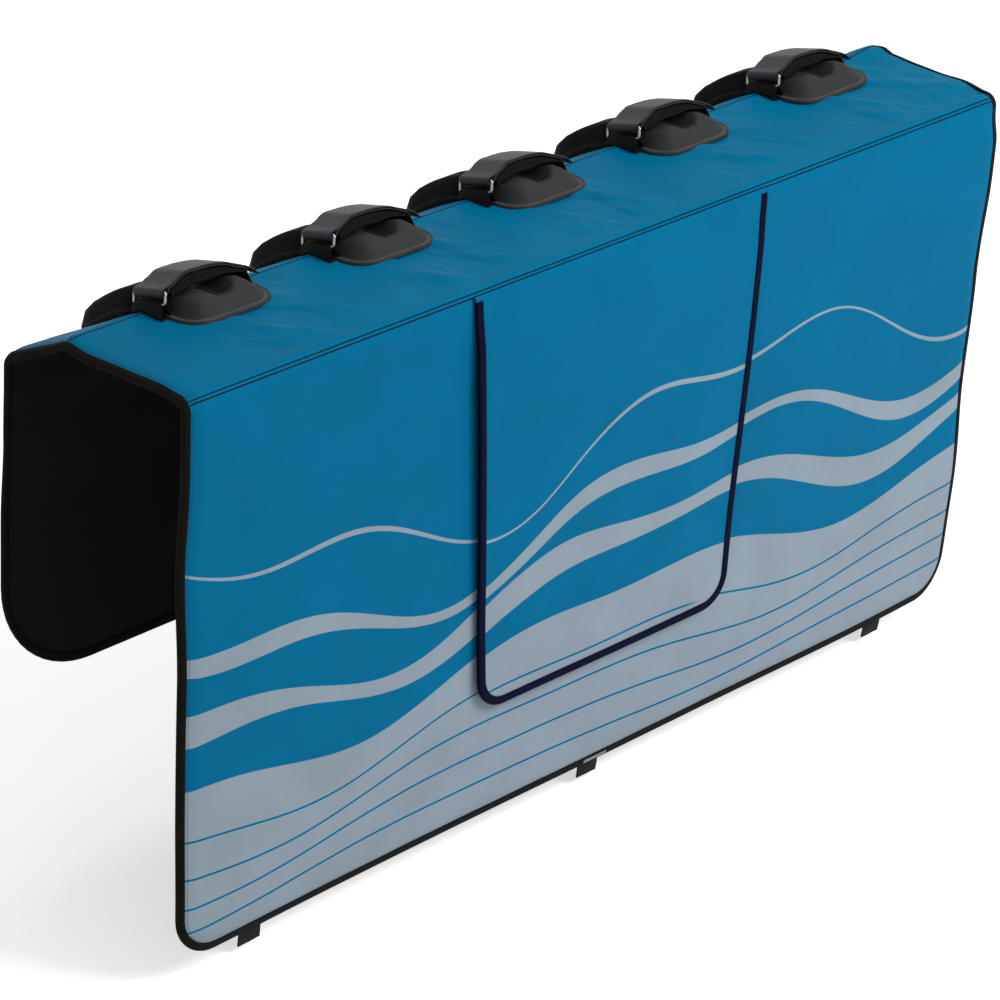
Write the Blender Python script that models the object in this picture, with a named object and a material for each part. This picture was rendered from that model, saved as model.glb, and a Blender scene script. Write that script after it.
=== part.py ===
"""Tailgate bike pad: a padded cover that hangs over a pickup's tailgate and holds five bicycles.

Metres, +Z up. The origin is the middle of the flat underside of the top, which rests on the edge of
the gate. X runs along the pad, -Y is the outer side and +Y is the cab side.

The panels are laid out flat first, as they are cut and sewn: u runs along the pad, v runs from the
front hem over the top to the rear hem along the inner face of the lining, and w is the height off
that face. fold() then lays every point (u, v, w) over the gate.
"""

import math

import bmesh
import bpy
from mathutils import Vector

# Driving dimensions of the folded pad, over the binding
LENGTH = 1.370
FRONT_DROP = 0.6935
TOP_DEPTH = 0.200
SLOPE_ANGLE = math.radians(30.0)
SLOPE_LENGTH = 0.1038
REAR_DROP = 0.427

# Layers, from the gate outwards
LINING = 0.0012
FOAM = 0.009
SHELL = 0.0012
GAP = 0.0003

# Folds, measured on the inner face
FRONT_CORNER_RADIUS = 0.008
REAR_SEAM_RADIUS = 0.012
REAR_CORNER_RADIUS = 0.006
FRONT_SEAM_SHARE = 0.375
FOLD_STEP = math.radians(11.25)

# Outline and its bound edge
FRONT_HEM_RADIUS = 0.055
REAR_HEM_RADIUS = 0.065
HEM_STEPS = 6
EDGE_TAPER = 0.014
EDGE_FOAM_SHARE = 0.5
EDGE_RISE = 0.0015
TAPE = 0.001
TAPE_WIDTH = 0.011

# Access flap over the handle and camera window
FLAP_WIDTH = 0.500
FLAP_LOW_WIDTH = 0.435
FLAP_DROP = 0.543
FLAP_THICKNESS = 0.0024
FLAP_RADIUS = 0.040
FLAP_EASE = 0.060
FLAP_EASE_ROWS = 5
FLAP_TAPE_WIDTH = 0.010
WINDOW_WIDTH = 0.400
WINDOW_TOP_DROP = 0.075
WINDOW_BOTTOM_DROP = 0.470
WINDOW_RADIUS = 0.030
CLOSURE_THICKNESS = 0.0012
CLOSURE_WIDTH = 0.300
CLOSURE_HEIGHT = 0.025
CLOSURE_DROP = 0.495

# Webbing tabs below the front hem
TAB_PLACES = tuple(LENGTH * share for share in (-0.4124, 0.0044, 0.4029))
TAB_WIDTH = 0.034
TAB_THICKNESS = 0.002
TAB_HANG = 0.022
TAB_SEWN = 0.035

# Bike cradles: a moulded base that follows the top and the slope and bends over the rear corner
CRADLE_COUNT = 5
CRADLE_PITCH = LENGTH * 0.1876
CRADLE_OFFSET = 0.0235
BASE_WIDTH = 0.137
BASE_ROW_STEP = 0.030
BASE_ROW_MERGE = 0.0008
BASE_AHEAD_OF_SEAM = 0.0745
BASE_BEHIND_SEAM = 0.122
BASE_CORNER_RADIUS = 0.035
BASE_LIP = 0.004
BASE_LIP_WIDTH = 0.008
BASE_DOME = 0.022
BASE_STEEP_RAMP = 0.016
BASE_LONG_RAMP = 0.034
GROOVE_DEPTH = 0.017
GROOVE_FLOOR = 0.010
GROOVE_HALF_WIDTH = 0.027
SEAT_HALF_WIDTH = 0.026
SEAT_FLANK = 0.009

# Strap, its padded sleeve, its ring and the loop of the ring. Places are across the cradle, from its
# middle, and heights are off the outer face of the pad at the rear seam.
STRAP_WIDTH = 0.042
STRAP_THICKNESS = 0.002
STRAP_CENTRE = -0.007
STRAP_TIP = 0.009
SLEEVE_WIDTH = 0.046
SLEEVE_PROFILE = (
    (-0.058, 0.0125, 0.0240),
    (-0.046, 0.0135, 0.0290),
    (-0.032, 0.0160, 0.0340),
    (-0.008, 0.0185, 0.0335),
    (0.020, 0.0185, 0.0300),
    (0.038, 0.0165, 0.0235),
    (0.052, 0.0145, 0.0180),
)
BAR_RADIUS = 0.0022
RING_CLEARANCE = 0.001
RING_RISE = 0.0135
RING_LEAN = 0.0035
RING_CORNER_RADIUS = 0.003
RING_CORNER_STEPS = 2
RING_SIDES = 8
SLEEVE_EDGE_SHARE = 0.4
STRAP_MEETS_BAR = math.radians(-60.0)
WRAP_STEPS = 6

SMOOTH_ANGLE = math.radians(35.0)

# Materials: colour, roughness, metallic
MATERIALS = {
    "shell_fabric": ((0.006, 0.155, 0.305), 0.55, 0.0),
    "foam": ((0.045, 0.045, 0.048), 0.95, 0.0),
    "lining_fabric": ((0.010, 0.010, 0.011), 0.95, 0.0),
    "edge_tape": ((0.017, 0.015, 0.011), 0.85, 0.0),
    "flap_tape": ((0.002, 0.006, 0.022), 0.75, 0.0),
    "hook_and_loop": ((0.012, 0.012, 0.013), 0.95, 0.0),
    "moulded_pad": ((0.045, 0.045, 0.048), 0.70, 0.0),
    "sleeve_fabric": ((0.016, 0.016, 0.016), 0.90, 0.0),
    "webbing": ((0.060, 0.062, 0.068), 0.60, 0.0),
    "ring_steel": ((0.620, 0.630, 0.650), 0.25, 1.0),
}

THICKNESS = LINING + GAP + FOAM + GAP + SHELL
TAPE_STANDOFF = GAP + TAPE
FOAM_BASE = LINING + GAP
HALF_LENGTH = LENGTH / 2 - TAPE_STANDOFF
HALF_SLOPE = SLOPE_ANGLE / 2
REAR_TURN = math.pi / 2 - SLOPE_ANGLE

FRONT_SETBACK = FRONT_CORNER_RADIUS + THICKNESS
SEAM_SETBACK = (REAR_SEAM_RADIUS + THICKNESS) * math.tan(HALF_SLOPE)
REAR_SETBACK = (REAR_CORNER_RADIUS + THICKNESS) * math.tan(REAR_TURN / 2)

# The section of the pad from hem to hem: length on the inner face and angle turned
FRONT_RUN = FRONT_DROP - FRONT_SETBACK - TAPE_STANDOFF
TOP_RUN = TOP_DEPTH - FRONT_SETBACK - SEAM_SETBACK
SLOPE_RUN = SLOPE_LENGTH - SEAM_SETBACK - REAR_SETBACK
REAR_RUN = REAR_DROP - REAR_SETBACK - TAPE_STANDOFF
SECTION = (
    (FRONT_RUN, 0.0),
    (FRONT_CORNER_RADIUS * math.pi / 2, math.pi / 2),
    (TOP_RUN, 0.0),
    (REAR_SEAM_RADIUS * SLOPE_ANGLE, SLOPE_ANGLE),
    (SLOPE_RUN, 0.0),
    (REAR_CORNER_RADIUS * REAR_TURN, REAR_TURN),
    (REAR_RUN, 0.0),
)
MARKS = [sum(length for length, turn in SECTION[:count]) for count in range(len(SECTION) + 1)]
V_END = MARKS[-1]
V_FRONT_SEAM = MARKS[1] + FRONT_SEAM_SHARE * (MARKS[2] - MARKS[1])
V_REAR_SEAM = (MARKS[3] + MARKS[4]) / 2


def fold(u, v, w):
    """Lay a point of the flat pattern over the gate."""
    y = -TOP_RUN / 2 - FRONT_CORNER_RADIUS
    z = -FRONT_RUN - FRONT_CORNER_RADIUS
    turn = 0.0
    remaining = v
    for index, (length, angle) in enumerate(SECTION):
        is_last = index == len(SECTION) - 1
        step = remaining if is_last else min(remaining, length)
        turned = angle * step / length
        if angle:
            radius = length / angle
            y += radius * (math.cos(turn) - math.cos(turn + turned))
            z += radius * (math.sin(turn + turned) - math.sin(turn))
        else:
            y += step * math.sin(turn)
            z += step * math.cos(turn)
        turn += turned
        remaining -= step
    return Vector((u, y - w * math.cos(turn), z + w * math.sin(turn)))


def v_at_drop(drop):
    """Place on the front panel at a drop below the outer face of the top."""
    return MARKS[1] + FRONT_CORNER_RADIUS + THICKNESS - drop


def hem_offsets(radius):
    """Distances in from a hem at which its round corners get a row."""
    angles = [math.pi / 2 * step / HEM_STEPS for step in range(HEM_STEPS + 1)]
    return [radius * (1 - math.cos(angle)) for angle in angles]


def pad_stations():
    """Every place along v where the layers share a row."""
    stations = set(hem_offsets(FRONT_HEM_RADIUS))
    stations.update(V_END - offset for offset in hem_offsets(REAR_HEM_RADIUS))
    for index, (length, angle) in enumerate(SECTION):
        parts = max(1, round(angle / FOLD_STEP))
        stations.update(MARKS[index] + length * part / parts for part in range(parts + 1))
    stations.update((V_FRONT_SEAM, V_REAR_SEAM))
    return sorted(stations)


STATIONS = pad_stations()


def rows_between(low, high):
    """The shared rows from low to high, with both ends."""
    return [low] + [v for v in STATIONS if low + GAP < v < high - GAP] + [high]


def half_width(v):
    """Half of the pad's width at v, round at the four hem corners."""
    radius = FRONT_HEM_RADIUS if v < V_END / 2 else REAR_HEM_RADIUS
    into_corner = max(0.0, radius - min(v, V_END - v))
    return HALF_LENGTH - radius + math.sqrt(max(0.0, radius ** 2 - into_corner ** 2))


def rounded_inset(side, end, radius):
    """Distance in from a rounded outline, from the distances to its nearest side and end."""
    if side < radius and end < radius:
        return max(0.0, radius - math.hypot(radius - side, radius - end))
    return max(0.0, min(side, end))


def inset_at(u, v):
    """Distance in from the edge of the pad."""
    radius = FRONT_HEM_RADIUS if v < V_END / 2 else REAR_HEM_RADIUS
    return rounded_inset(HALF_LENGTH - abs(u), min(v, V_END - v), radius)


def edge_rise(inset):
    """How far the inner face is drawn up towards the edge."""
    return EDGE_RISE * (1 - min(inset / EDGE_TAPER, 1.0))


def foam_top(inset):
    """Height of the foam's outer face, which is drawn down towards the edge."""
    return FOAM_BASE + FOAM * (EDGE_FOAM_SHARE + (1 - EDGE_FOAM_SHARE) * min(inset / EDGE_TAPER, 1.0))


def under_foam(height):
    """Face at a height off the lining's inner face."""
    return lambda u, v: height + edge_rise(inset_at(u, v))


def over_foam(extra):
    """Face at a height off the foam's outer face."""
    return lambda u, v: foam_top(inset_at(u, v)) + extra


def make_material(name):
    colour, roughness, metallic = MATERIALS[name]
    material = bpy.data.materials.new(name)
    material.use_nodes = True
    shader = material.node_tree.nodes["Principled BSDF"]
    shader.inputs["Base Color"].default_value = (*colour, 1.0)
    shader.inputs["Roughness"].default_value = roughness
    shader.inputs["Metallic"].default_value = metallic
    material.diffuse_color = (*colour, 1.0)
    return material


def clear_scene():
    for item in list(bpy.data.objects):
        bpy.data.objects.remove(item, do_unlink=True)


def make_collection(name):
    collection = bpy.data.collections.new(name)
    bpy.context.scene.collection.children.link(collection)
    return collection


def finish_object(name, bm, material, smooth_angle=None):
    """Turn a bmesh into a piece of the pad, with its faces pointing out."""
    bmesh.ops.recalc_face_normals(bm, faces=bm.faces[:])
    if bm.calc_volume(signed=True) < 0:
        bmesh.ops.reverse_faces(bm, faces=bm.faces[:])
    mesh = bpy.data.meshes.new(name)
    bm.to_mesh(mesh)
    bm.free()
    if smooth_angle is not None:
        mesh.shade_smooth()
        mesh.set_sharp_from_angle(angle=smooth_angle)
    item = bpy.data.objects.new(name, mesh)
    item.data.materials.append(materials[material])
    parts.objects.link(item)
    return item


def grid_block(name, columns, rows, place, material):
    """A block from a flat grid: place(column, row, side) gives each point, side 0 under, 1 over."""
    bm = bmesh.new()
    bmesh.ops.create_grid(bm, x_segments=columns - 1, y_segments=rows - 1, size=1.0)
    bmesh.ops.triangulate(bm, faces=bm.faces[:], quad_method="FIXED")
    raised = bmesh.ops.extrude_face_region(bm, geom=bm.faces[:])
    for vertex in [item for item in raised["geom"] if isinstance(item, bmesh.types.BMVert)]:
        vertex.co.z = 1.0
    for vertex in bm.verts:
        column = round((vertex.co.x + 1) / 2 * (columns - 1))
        row = round((vertex.co.y + 1) / 2 * (rows - 1))
        vertex.co = place(column, row, round(vertex.co.z))
    return finish_object(name, bm, material, SMOOTH_ANGLE)


def loft(name, rings, closed, material):
    """Skin a list of rings of points, capped at both ends unless it closes on itself."""
    bm = bmesh.new()
    loops = [[bm.verts.new(point) for point in ring] for ring in rings]
    count = len(rings[0])
    spans = len(rings) if closed else len(rings) - 1
    for span in range(spans):
        near = loops[span]
        far = loops[(span + 1) % len(loops)]
        for index in range(count):
            after = (index + 1) % count
            bm.faces.new((near[index], near[after], far[after], far[index]))
    if not closed:
        bm.faces.new(loops[0])
        bm.faces.new(loops[-1])
    return finish_object(name, bm, material, SMOOTH_ANGLE)


def prism(name, outline, low, high, place, material):
    """A flat outline given a width: place(x, y, along) gives each point."""
    bm = bmesh.new()
    face = bm.faces.new([bm.verts.new((x, y, 0.0)) for x, y in outline])
    raised = bmesh.ops.extrude_face_region(bm, geom=[face])
    for vertex in [item for item in raised["geom"] if isinstance(item, bmesh.types.BMVert)]:
        vertex.co.z = 1.0
    for vertex in bm.verts:
        vertex.co = place(vertex.co.x, vertex.co.y, high if vertex.co.z > 0.5 else low)
    return finish_object(name, bm, material, SMOOTH_ANGLE)


def cut(target, cutter):
    modifier = target.modifiers.new("window", "BOOLEAN")
    modifier.operation = "DIFFERENCE"
    modifier.solver = "EXACT"
    modifier.object = cutter


def pad_layer(name, low, high, under, over, material):
    """One layer of the pad from low to high, between two height functions."""
    rows = rows_between(low, high)

    def place(column, row, side):
        v = rows[row]
        half = half_width(v)
        u = (-half, EDGE_TAPER - half, half - EDGE_TAPER, half)[column]
        surface = over if side else under
        return fold(u, v, surface(u, v))

    return grid_block(name, 4, len(rows), place, material)


def tape_section(outer_height, inner_height, width):
    """Folded tape round an edge: (distance in from the edge, height) of each point."""
    over = outer_height + GAP
    under = inner_height - GAP
    return (
        (width, over + TAPE),
        (-GAP, over + TAPE),
        (-TAPE_STANDOFF, over),
        (-TAPE_STANDOFF, under),
        (-GAP, under - TAPE),
        (width, under - TAPE),
        (width, under),
        (-GAP, under),
        (-GAP, over),
        (width, over),
    )


def corner_path(centre_u, centre_v, radius, start_angle, steps):
    """Points and outward directions round a quarter corner."""
    path = []
    for step in range(steps + 1):
        angle = start_angle + math.pi / 2 * step / steps
        out = (math.cos(angle), math.sin(angle))
        path.append((centre_u + radius * out[0], centre_v + radius * out[1], out))
    return path


def outline_path():
    """The bound edge of the pad as (u, v, outward direction), once round."""
    front_u = HALF_LENGTH - FRONT_HEM_RADIUS
    rear_u = HALF_LENGTH - REAR_HEM_RADIUS
    rear_v = V_END - REAR_HEM_RADIUS
    side_rows = [v for v in STATIONS if FRONT_HEM_RADIUS + GAP < v < rear_v - GAP]
    path = corner_path(-front_u, FRONT_HEM_RADIUS, FRONT_HEM_RADIUS, math.pi, HEM_STEPS)
    path += corner_path(front_u, FRONT_HEM_RADIUS, FRONT_HEM_RADIUS, math.pi * 1.5, HEM_STEPS)
    path += [(HALF_LENGTH, v, (1.0, 0.0)) for v in side_rows]
    path += corner_path(rear_u, rear_v, REAR_HEM_RADIUS, 0.0, HEM_STEPS)
    path += corner_path(-rear_u, rear_v, REAR_HEM_RADIUS, math.pi / 2, HEM_STEPS)
    path += [(-HALF_LENGTH, v, (-1.0, 0.0)) for v in reversed(side_rows)]
    return path


def make_edge_binding():
    """Folded tape round the whole pad, over shell and lining."""
    rings = []
    for u, v, out in outline_path():
        ring = []
        for inset, level in tape_section(0.0, 0.0, TAPE_WIDTH):
            within = max(inset, 0.0)
            face = foam_top(within) + GAP + SHELL if level > 0 else edge_rise(within)
            ring.append(fold(u - inset * out[0], v - inset * out[1], face + level))
        rings.append(ring)
    return loft("edge_binding", rings, True, "edge_tape")


def make_pad():
    """Shells, foams, lining and edge binding."""
    lining = pad_layer("lining", 0.0, V_END, under_foam(0.0), under_foam(LINING), "lining_fabric")
    foam_faces = (under_foam(FOAM_BASE), over_foam(0.0))
    front_foam = pad_layer("front_foam", 0.0, MARKS[1] - GAP, *foam_faces, "foam")
    pad_layer("top_foam", MARKS[1], MARKS[4] - GAP, *foam_faces, "foam")
    pad_layer("rear_foam", MARKS[4], V_END, *foam_faces, "foam")
    shell_faces = (over_foam(GAP), over_foam(GAP + SHELL))
    front_shell = pad_layer("front_shell", 0.0, V_FRONT_SEAM - GAP, *shell_faces, "shell_fabric")
    pad_layer("top_shell", V_FRONT_SEAM, V_REAR_SEAM - GAP, *shell_faces, "shell_fabric")
    pad_layer("rear_shell", V_REAR_SEAM, V_END, *shell_faces, "shell_fabric")
    make_edge_binding()
    return lining, front_foam, front_shell


def window_outline():
    """The window in the front panel as (u, v, direction towards the panel), once round."""
    low = v_at_drop(WINDOW_BOTTOM_DROP)
    high = v_at_drop(WINDOW_TOP_DROP)
    reach_u = WINDOW_WIDTH / 2 - WINDOW_RADIUS
    path = []
    corners = (
        (reach_u, high - WINDOW_RADIUS, 0.0),
        (-reach_u, high - WINDOW_RADIUS, math.pi / 2),
        (-reach_u, low + WINDOW_RADIUS, math.pi),
        (reach_u, low + WINDOW_RADIUS, math.pi * 1.5),
    )
    for centre_u, centre_v, start in corners:
        path += corner_path(centre_u, centre_v, WINDOW_RADIUS, start, HEM_STEPS)
    return path


def make_window(lining, front_foam, front_shell):
    """Cut the window through the front panel and bind its edge."""
    outline = [(u, v) for u, v, out in window_outline()]
    cutter = prism("window_cutter", outline, -THICKNESS, 2 * THICKNESS, fold, "foam")
    parts.objects.unlink(cutter)
    cutters.objects.link(cutter)
    cutter.hide_render = True
    cutter.display_type = "WIRE"
    for panel in (lining, front_foam, front_shell):
        cut(panel, cutter)
    rings = []
    for u, v, out in window_outline():
        section = tape_section(THICKNESS, 0.0, TAPE_WIDTH)
        rings.append([fold(u + inset * out[0], v + inset * out[1], level) for inset, level in section])
    loft("window_binding", rings, True, "edge_tape")


FLAP_SEWN = GAP + TAPE + GAP
FLAP_PROUD = 2 * CLOSURE_THICKNESS + 3 * GAP - FLAP_SEWN
FLAP_TOP = V_FRONT_SEAM - GAP
FLAP_LOW = v_at_drop(FLAP_DROP) + TAPE_STANDOFF


def flap_under(v):
    """Height of the flap's inner face, which stands off the panel by its closure."""
    share = min(max((MARKS[1] - v) / FLAP_EASE, 0.0), 1.0)
    eased = share * share * (3 - 2 * share)
    return THICKNESS + FLAP_SEWN + FLAP_PROUD * eased


def flap_rows():
    ease = [MARKS[1] - FLAP_EASE * step / FLAP_EASE_ROWS for step in range(1, FLAP_EASE_ROWS + 1)]
    corner = [FLAP_LOW + offset for offset in hem_offsets(FLAP_RADIUS)]
    fold_rows = [v for v in STATIONS if MARKS[1] - GAP < v < FLAP_TOP - GAP]
    return sorted(set(corner + ease + fold_rows + [FLAP_TOP]))


def flap_half_width(v):
    """Half of the flap's width at v: narrower downwards, and round at its two free corners."""
    width = FLAP_LOW_WIDTH + (FLAP_WIDTH - FLAP_LOW_WIDTH) * (v - FLAP_LOW) / (FLAP_TOP - FLAP_LOW)
    into_corner = max(0.0, FLAP_LOW + FLAP_RADIUS - v)
    reach = math.sqrt(max(0.0, FLAP_RADIUS ** 2 - into_corner ** 2))
    return width / 2 - TAPE_STANDOFF - FLAP_RADIUS + reach


def flap_outline(rows):
    """The flap's free edge as (u, v, outward direction), down one side and up the other."""
    centre_v = FLAP_LOW + FLAP_RADIUS
    side = [(v, (1.0, 0.0)) for v in reversed(rows) if v > centre_v + GAP]
    for u, v, out in corner_path(0.0, centre_v, FLAP_RADIUS, 0.0, HEM_STEPS):
        side.append((2 * centre_v - v, (out[0], -out[1])))
    right = [(flap_half_width(v), v, out) for v, out in side]
    return right + [(-u, v, (-out[0], out[1])) for u, v, out in reversed(right)]


def make_access_flap():
    """The flap, held in the front seam and free at its sides and bottom."""
    rows = flap_rows()

    def place(column, row, side):
        v = rows[row]
        u = (column * 2 - 1) * flap_half_width(v)
        return fold(u, v, flap_under(v) + side * FLAP_THICKNESS)

    grid_block("access_flap", 2, len(rows), place, "shell_fabric")
    rings = []
    for u, v, out in flap_outline(rows):
        under = flap_under(v)
        section = tape_section(under + FLAP_THICKNESS, under, FLAP_TAPE_WIDTH)
        rings.append([fold(u - inset * out[0], v - inset * out[1], level) for inset, level in section])
    loft("flap_binding", rings, False, "flap_tape")


def make_closure():
    """Hook strip on the flap and loop strip on the panel, under the window."""
    low = v_at_drop(CLOSURE_DROP) - CLOSURE_HEIGHT / 2
    half = CLOSURE_WIDTH / 2
    outline = [(-half, low), (half, low), (half, low + CLOSURE_HEIGHT), (-half, low + CLOSURE_HEIGHT)]
    loop_under = THICKNESS + GAP
    hook_under = loop_under + CLOSURE_THICKNESS + GAP
    for name, under in (("panel_loop_strip", loop_under), ("flap_hook_strip", hook_under)):
        prism(name, outline, under, under + CLOSURE_THICKNESS, fold, "hook_and_loop")


def make_hem_tabs():
    """Webbing tabs sewn behind the bound front hem."""
    over = -TAPE_STANDOFF - GAP
    for number, centre in enumerate(TAB_PLACES, start=1):
        left = centre - TAB_WIDTH / 2
        right = centre + TAB_WIDTH / 2
        low = -TAPE_STANDOFF - TAB_HANG
        outline = [(left, low), (right, low), (right, TAB_SEWN), (left, TAB_SEWN)]
        prism(f"hem_tab_{number}", outline, over - TAB_THICKNESS, over, fold, "webbing")


def sleeve_bottom(x):
    """Height of the sleeve's underside at x, which the base is moulded to."""
    for (x0, bottom0, top0), (x1, bottom1, top1) in zip(SLEEVE_PROFILE, SLEEVE_PROFILE[1:]):
        if x <= x1:
            return bottom0 + (bottom1 - bottom0) * (x - x0) / (x1 - x0)
    return bottom1


def smooth(value):
    value = min(max(value, 0.0), 1.0)
    return value * value * (3 - 2 * value)


def v_from_seam(distance):
    """Place on the inner face at a distance from the rear seam, measured on the outer face."""
    if distance < 0:
        return min(MARKS[3] + SEAM_SETBACK + distance, V_REAR_SEAM)
    return max(MARKS[4] - SEAM_SETBACK + distance, V_REAR_SEAM)


BASE_HALF = BASE_WIDTH / 2
BASE_FRONT = v_from_seam(-BASE_AHEAD_OF_SEAM)
BASE_REAR = v_from_seam(BASE_BEHIND_SEAM)


def base_columns():
    """Places across a cradle base at which its form turns."""
    columns = [-BASE_HALF, BASE_HALF]
    steep_start = -BASE_HALF + BASE_LIP_WIDTH
    columns += [steep_start + BASE_STEEP_RAMP * share for share in (0.0, 0.25, 0.55, 1.0)]
    long_start = BASE_HALF - BASE_LIP_WIDTH
    columns += [long_start - BASE_LONG_RAMP * share for share in (0.0, 0.3, 0.65)]
    for share in (0.0, 1 / 3, 2 / 3, 1.0):
        wall = GROOVE_FLOOR + (GROOVE_HALF_WIDTH - GROOVE_FLOOR) * share
        columns += [-wall, wall]
    return sorted(columns)


def filled(rows, step):
    """The rows without near doubles, and with more between them where they lie further apart than a step."""
    rows = sorted(rows)
    rows = [rows[0]] + [high for low, high in zip(rows, rows[1:]) if high - low > BASE_ROW_MERGE]
    result = [rows[0]]
    for low, high in zip(rows, rows[1:]):
        spans = math.ceil((high - low) / step)
        result += [low + (high - low) * span / spans for span in range(1, spans + 1)]
    return result


def base_rows():
    """Rows of a cradle base, close together at its round ends and where the pad folds under it."""
    offsets = hem_offsets(BASE_CORNER_RADIUS)
    rows = set(BASE_FRONT + offset for offset in offsets)
    rows.update(BASE_REAR - offset for offset in offsets)
    rows.update(v for v in STATIONS if MARKS[3] - GAP < v < BASE_REAR - GAP)
    for reach in (SEAT_HALF_WIDTH, SEAT_HALF_WIDTH + SEAT_FLANK):
        rows.add(v_from_seam(STRAP_CENTRE - reach))
        rows.add(v_from_seam(STRAP_CENTRE + reach))
    return filled(rows, BASE_ROW_STEP)


def base_half_width(v):
    into_corner = max(0.0, BASE_CORNER_RADIUS - min(v - BASE_FRONT, BASE_REAR - v))
    reach = math.sqrt(max(0.0, BASE_CORNER_RADIUS ** 2 - into_corner ** 2))
    return BASE_HALF - BASE_CORNER_RADIUS + reach


def base_height(x, v):
    """Thickness of a cradle base: lip, crowned dome, groove for the frame tube and strap seat."""
    inset = rounded_inset(BASE_HALF - abs(x), min(v - BASE_FRONT, BASE_REAR - v), BASE_CORNER_RADIUS)
    lean = smooth((x + BASE_HALF / 2) / BASE_HALF)
    ramp = BASE_STEEP_RAMP + (BASE_LONG_RAMP - BASE_STEEP_RAMP) * lean
    rise = math.sin(math.pi / 2 * min(max((inset - BASE_LIP_WIDTH) / ramp, 0.0), 1.0))
    groove = 1 - smooth((abs(x) - GROOVE_FLOOR) / (GROOVE_HALF_WIDTH - GROOVE_FLOOR))
    height = BASE_LIP + rise * (BASE_DOME - GROOVE_DEPTH * groove)
    from_seam = seam_distance(v)
    seat = (sleeve_bottom(x) - 3 * GAP) * math.cos(HALF_SLOPE) + abs(from_seam) * math.sin(HALF_SLOPE)
    seated = max(min(height, seat), BASE_LIP)
    in_seat = 1 - smooth((abs(from_seam - STRAP_CENTRE) - SEAT_HALF_WIDTH) / SEAT_FLANK)
    return height + (seated - height) * in_seat


def seam_distance(v):
    """Distance of v from the rear seam, measured on the outer face."""
    if v < MARKS[3]:
        return v - MARKS[3] - SEAM_SETBACK
    if v > MARKS[4]:
        return v - MARKS[4] + SEAM_SETBACK
    return (v - V_REAR_SEAM) / (MARKS[4] - V_REAR_SEAM) * SEAM_SETBACK


def make_cradle_base(name, centre):
    """Moulded base, lying on the top and the slope and over the rear corner."""
    rows = base_rows()
    columns = base_columns()
    foot = THICKNESS + GAP

    def place(column, row, side):
        v = rows[row]
        x = columns[column] * base_half_width(v) / BASE_HALF
        return fold(centre + x, v, foot + side * base_height(x, v))

    grid_block(name, len(columns), len(rows), place, "moulded_pad")


def strap_place(centre):
    """Frame of a strap: x across the cradle, n off the pad, s down towards the cab."""
    seat = fold(centre, V_REAR_SEAM, THICKNESS)
    down = Vector((0.0, math.cos(HALF_SLOPE), -math.sin(HALF_SLOPE)))
    normal = Vector((0.0, math.sin(HALF_SLOPE), math.cos(HALF_SLOPE)))
    return lambda x, n, s: seat + Vector((x, 0.0, 0.0)) + normal * n + down * (STRAP_CENTRE + s)


def shifted(points, distance):
    """A line of points moved sideways to its left by a distance, with mitred corners."""
    moved = []
    for index, (x, y) in enumerate(points):
        before = Vector(points[max(index - 1, 0)])
        after = Vector(points[min(index + 1, len(points) - 1)])
        here = Vector((x, y))
        steps = [(there - start).normalized() for start, there in ((before, here), (here, after))
                 if (there - start).length > 0]
        sides = [Vector((-step.y, step.x)) for step in steps]
        middle = (sides[0] + sides[-1]).normalized()
        reach = distance / middle.dot(sides[0])
        moved.append((x + middle.x * reach, y + middle.y * reach))
    return moved


def band(line):
    """Outline of webbing that follows a line."""
    half = STRAP_THICKNESS / 2
    return shifted(line, half) + list(reversed(shifted(line, -half)))


LIP_FACE = GAP + BASE_LIP
FOOT_HEIGHT = LIP_FACE + GAP + STRAP_THICKNESS / 2
LOWER_BAR = (-BASE_HALF - BAR_RADIUS - GAP, FOOT_HEIGHT + STRAP_THICKNESS / 2 + GAP + BAR_RADIUS)
UPPER_BAR = (LOWER_BAR[0] + RING_LEAN, LOWER_BAR[1] + RING_RISE)
WRAP_RADIUS = BAR_RADIUS + GAP + STRAP_THICKNESS / 2


def wrap_points(bar, start_angle, end_angle):
    """The line of webbing round a bar."""
    angles = [start_angle + (end_angle - start_angle) * step / WRAP_STEPS for step in range(WRAP_STEPS + 1)]
    return [(bar[0] + WRAP_RADIUS * math.cos(angle), bar[1] + WRAP_RADIUS * math.sin(angle))
            for angle in angles]


def strap_line():
    """From its foot over the sleeve, round the upper bar and back over itself to the free tip."""
    foot_end = BASE_HALF - GAP
    foot_start = BASE_HALF - BASE_LIP_WIDTH + GAP
    rise = SLEEVE_PROFILE[-1][0] + 2 * STRAP_THICKNESS
    clear = GAP + STRAP_THICKNESS / 2
    over_sleeve = shifted([(x, top) for x, bottom, top in reversed(SLEEVE_PROFILE)], -clear)
    shoulder = (rise, (over_sleeve[0][1] + FOOT_HEIGHT) / 2 + STRAP_THICKNESS / 2)
    lower = [(foot_end, FOOT_HEIGHT), (foot_start, FOOT_HEIGHT), shoulder] + over_sleeve
    upper = shifted(lower, -(STRAP_THICKNESS + GAP))
    upper = [(upper[0][0] + STRAP_TIP, upper[0][1])] + upper[1:-1]
    return lower + wrap_points(UPPER_BAR, STRAP_MEETS_BAR, -math.pi * 1.5) + list(reversed(upper))


def loop_line():
    """Webbing sewn to the lip with both ends, round the lower bar."""
    foot_end = -BASE_HALF + BASE_LIP_WIDTH - GAP
    top_leg = FOOT_HEIGHT + STRAP_THICKNESS + GAP
    wrap = wrap_points(LOWER_BAR, -math.pi / 2, -math.pi * 1.75)
    leaves_x, leaves_n = wrap[-1]
    return [(foot_end, FOOT_HEIGHT)] + wrap + [(leaves_x + leaves_n - top_leg, top_leg), (foot_end, top_leg)]


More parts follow.
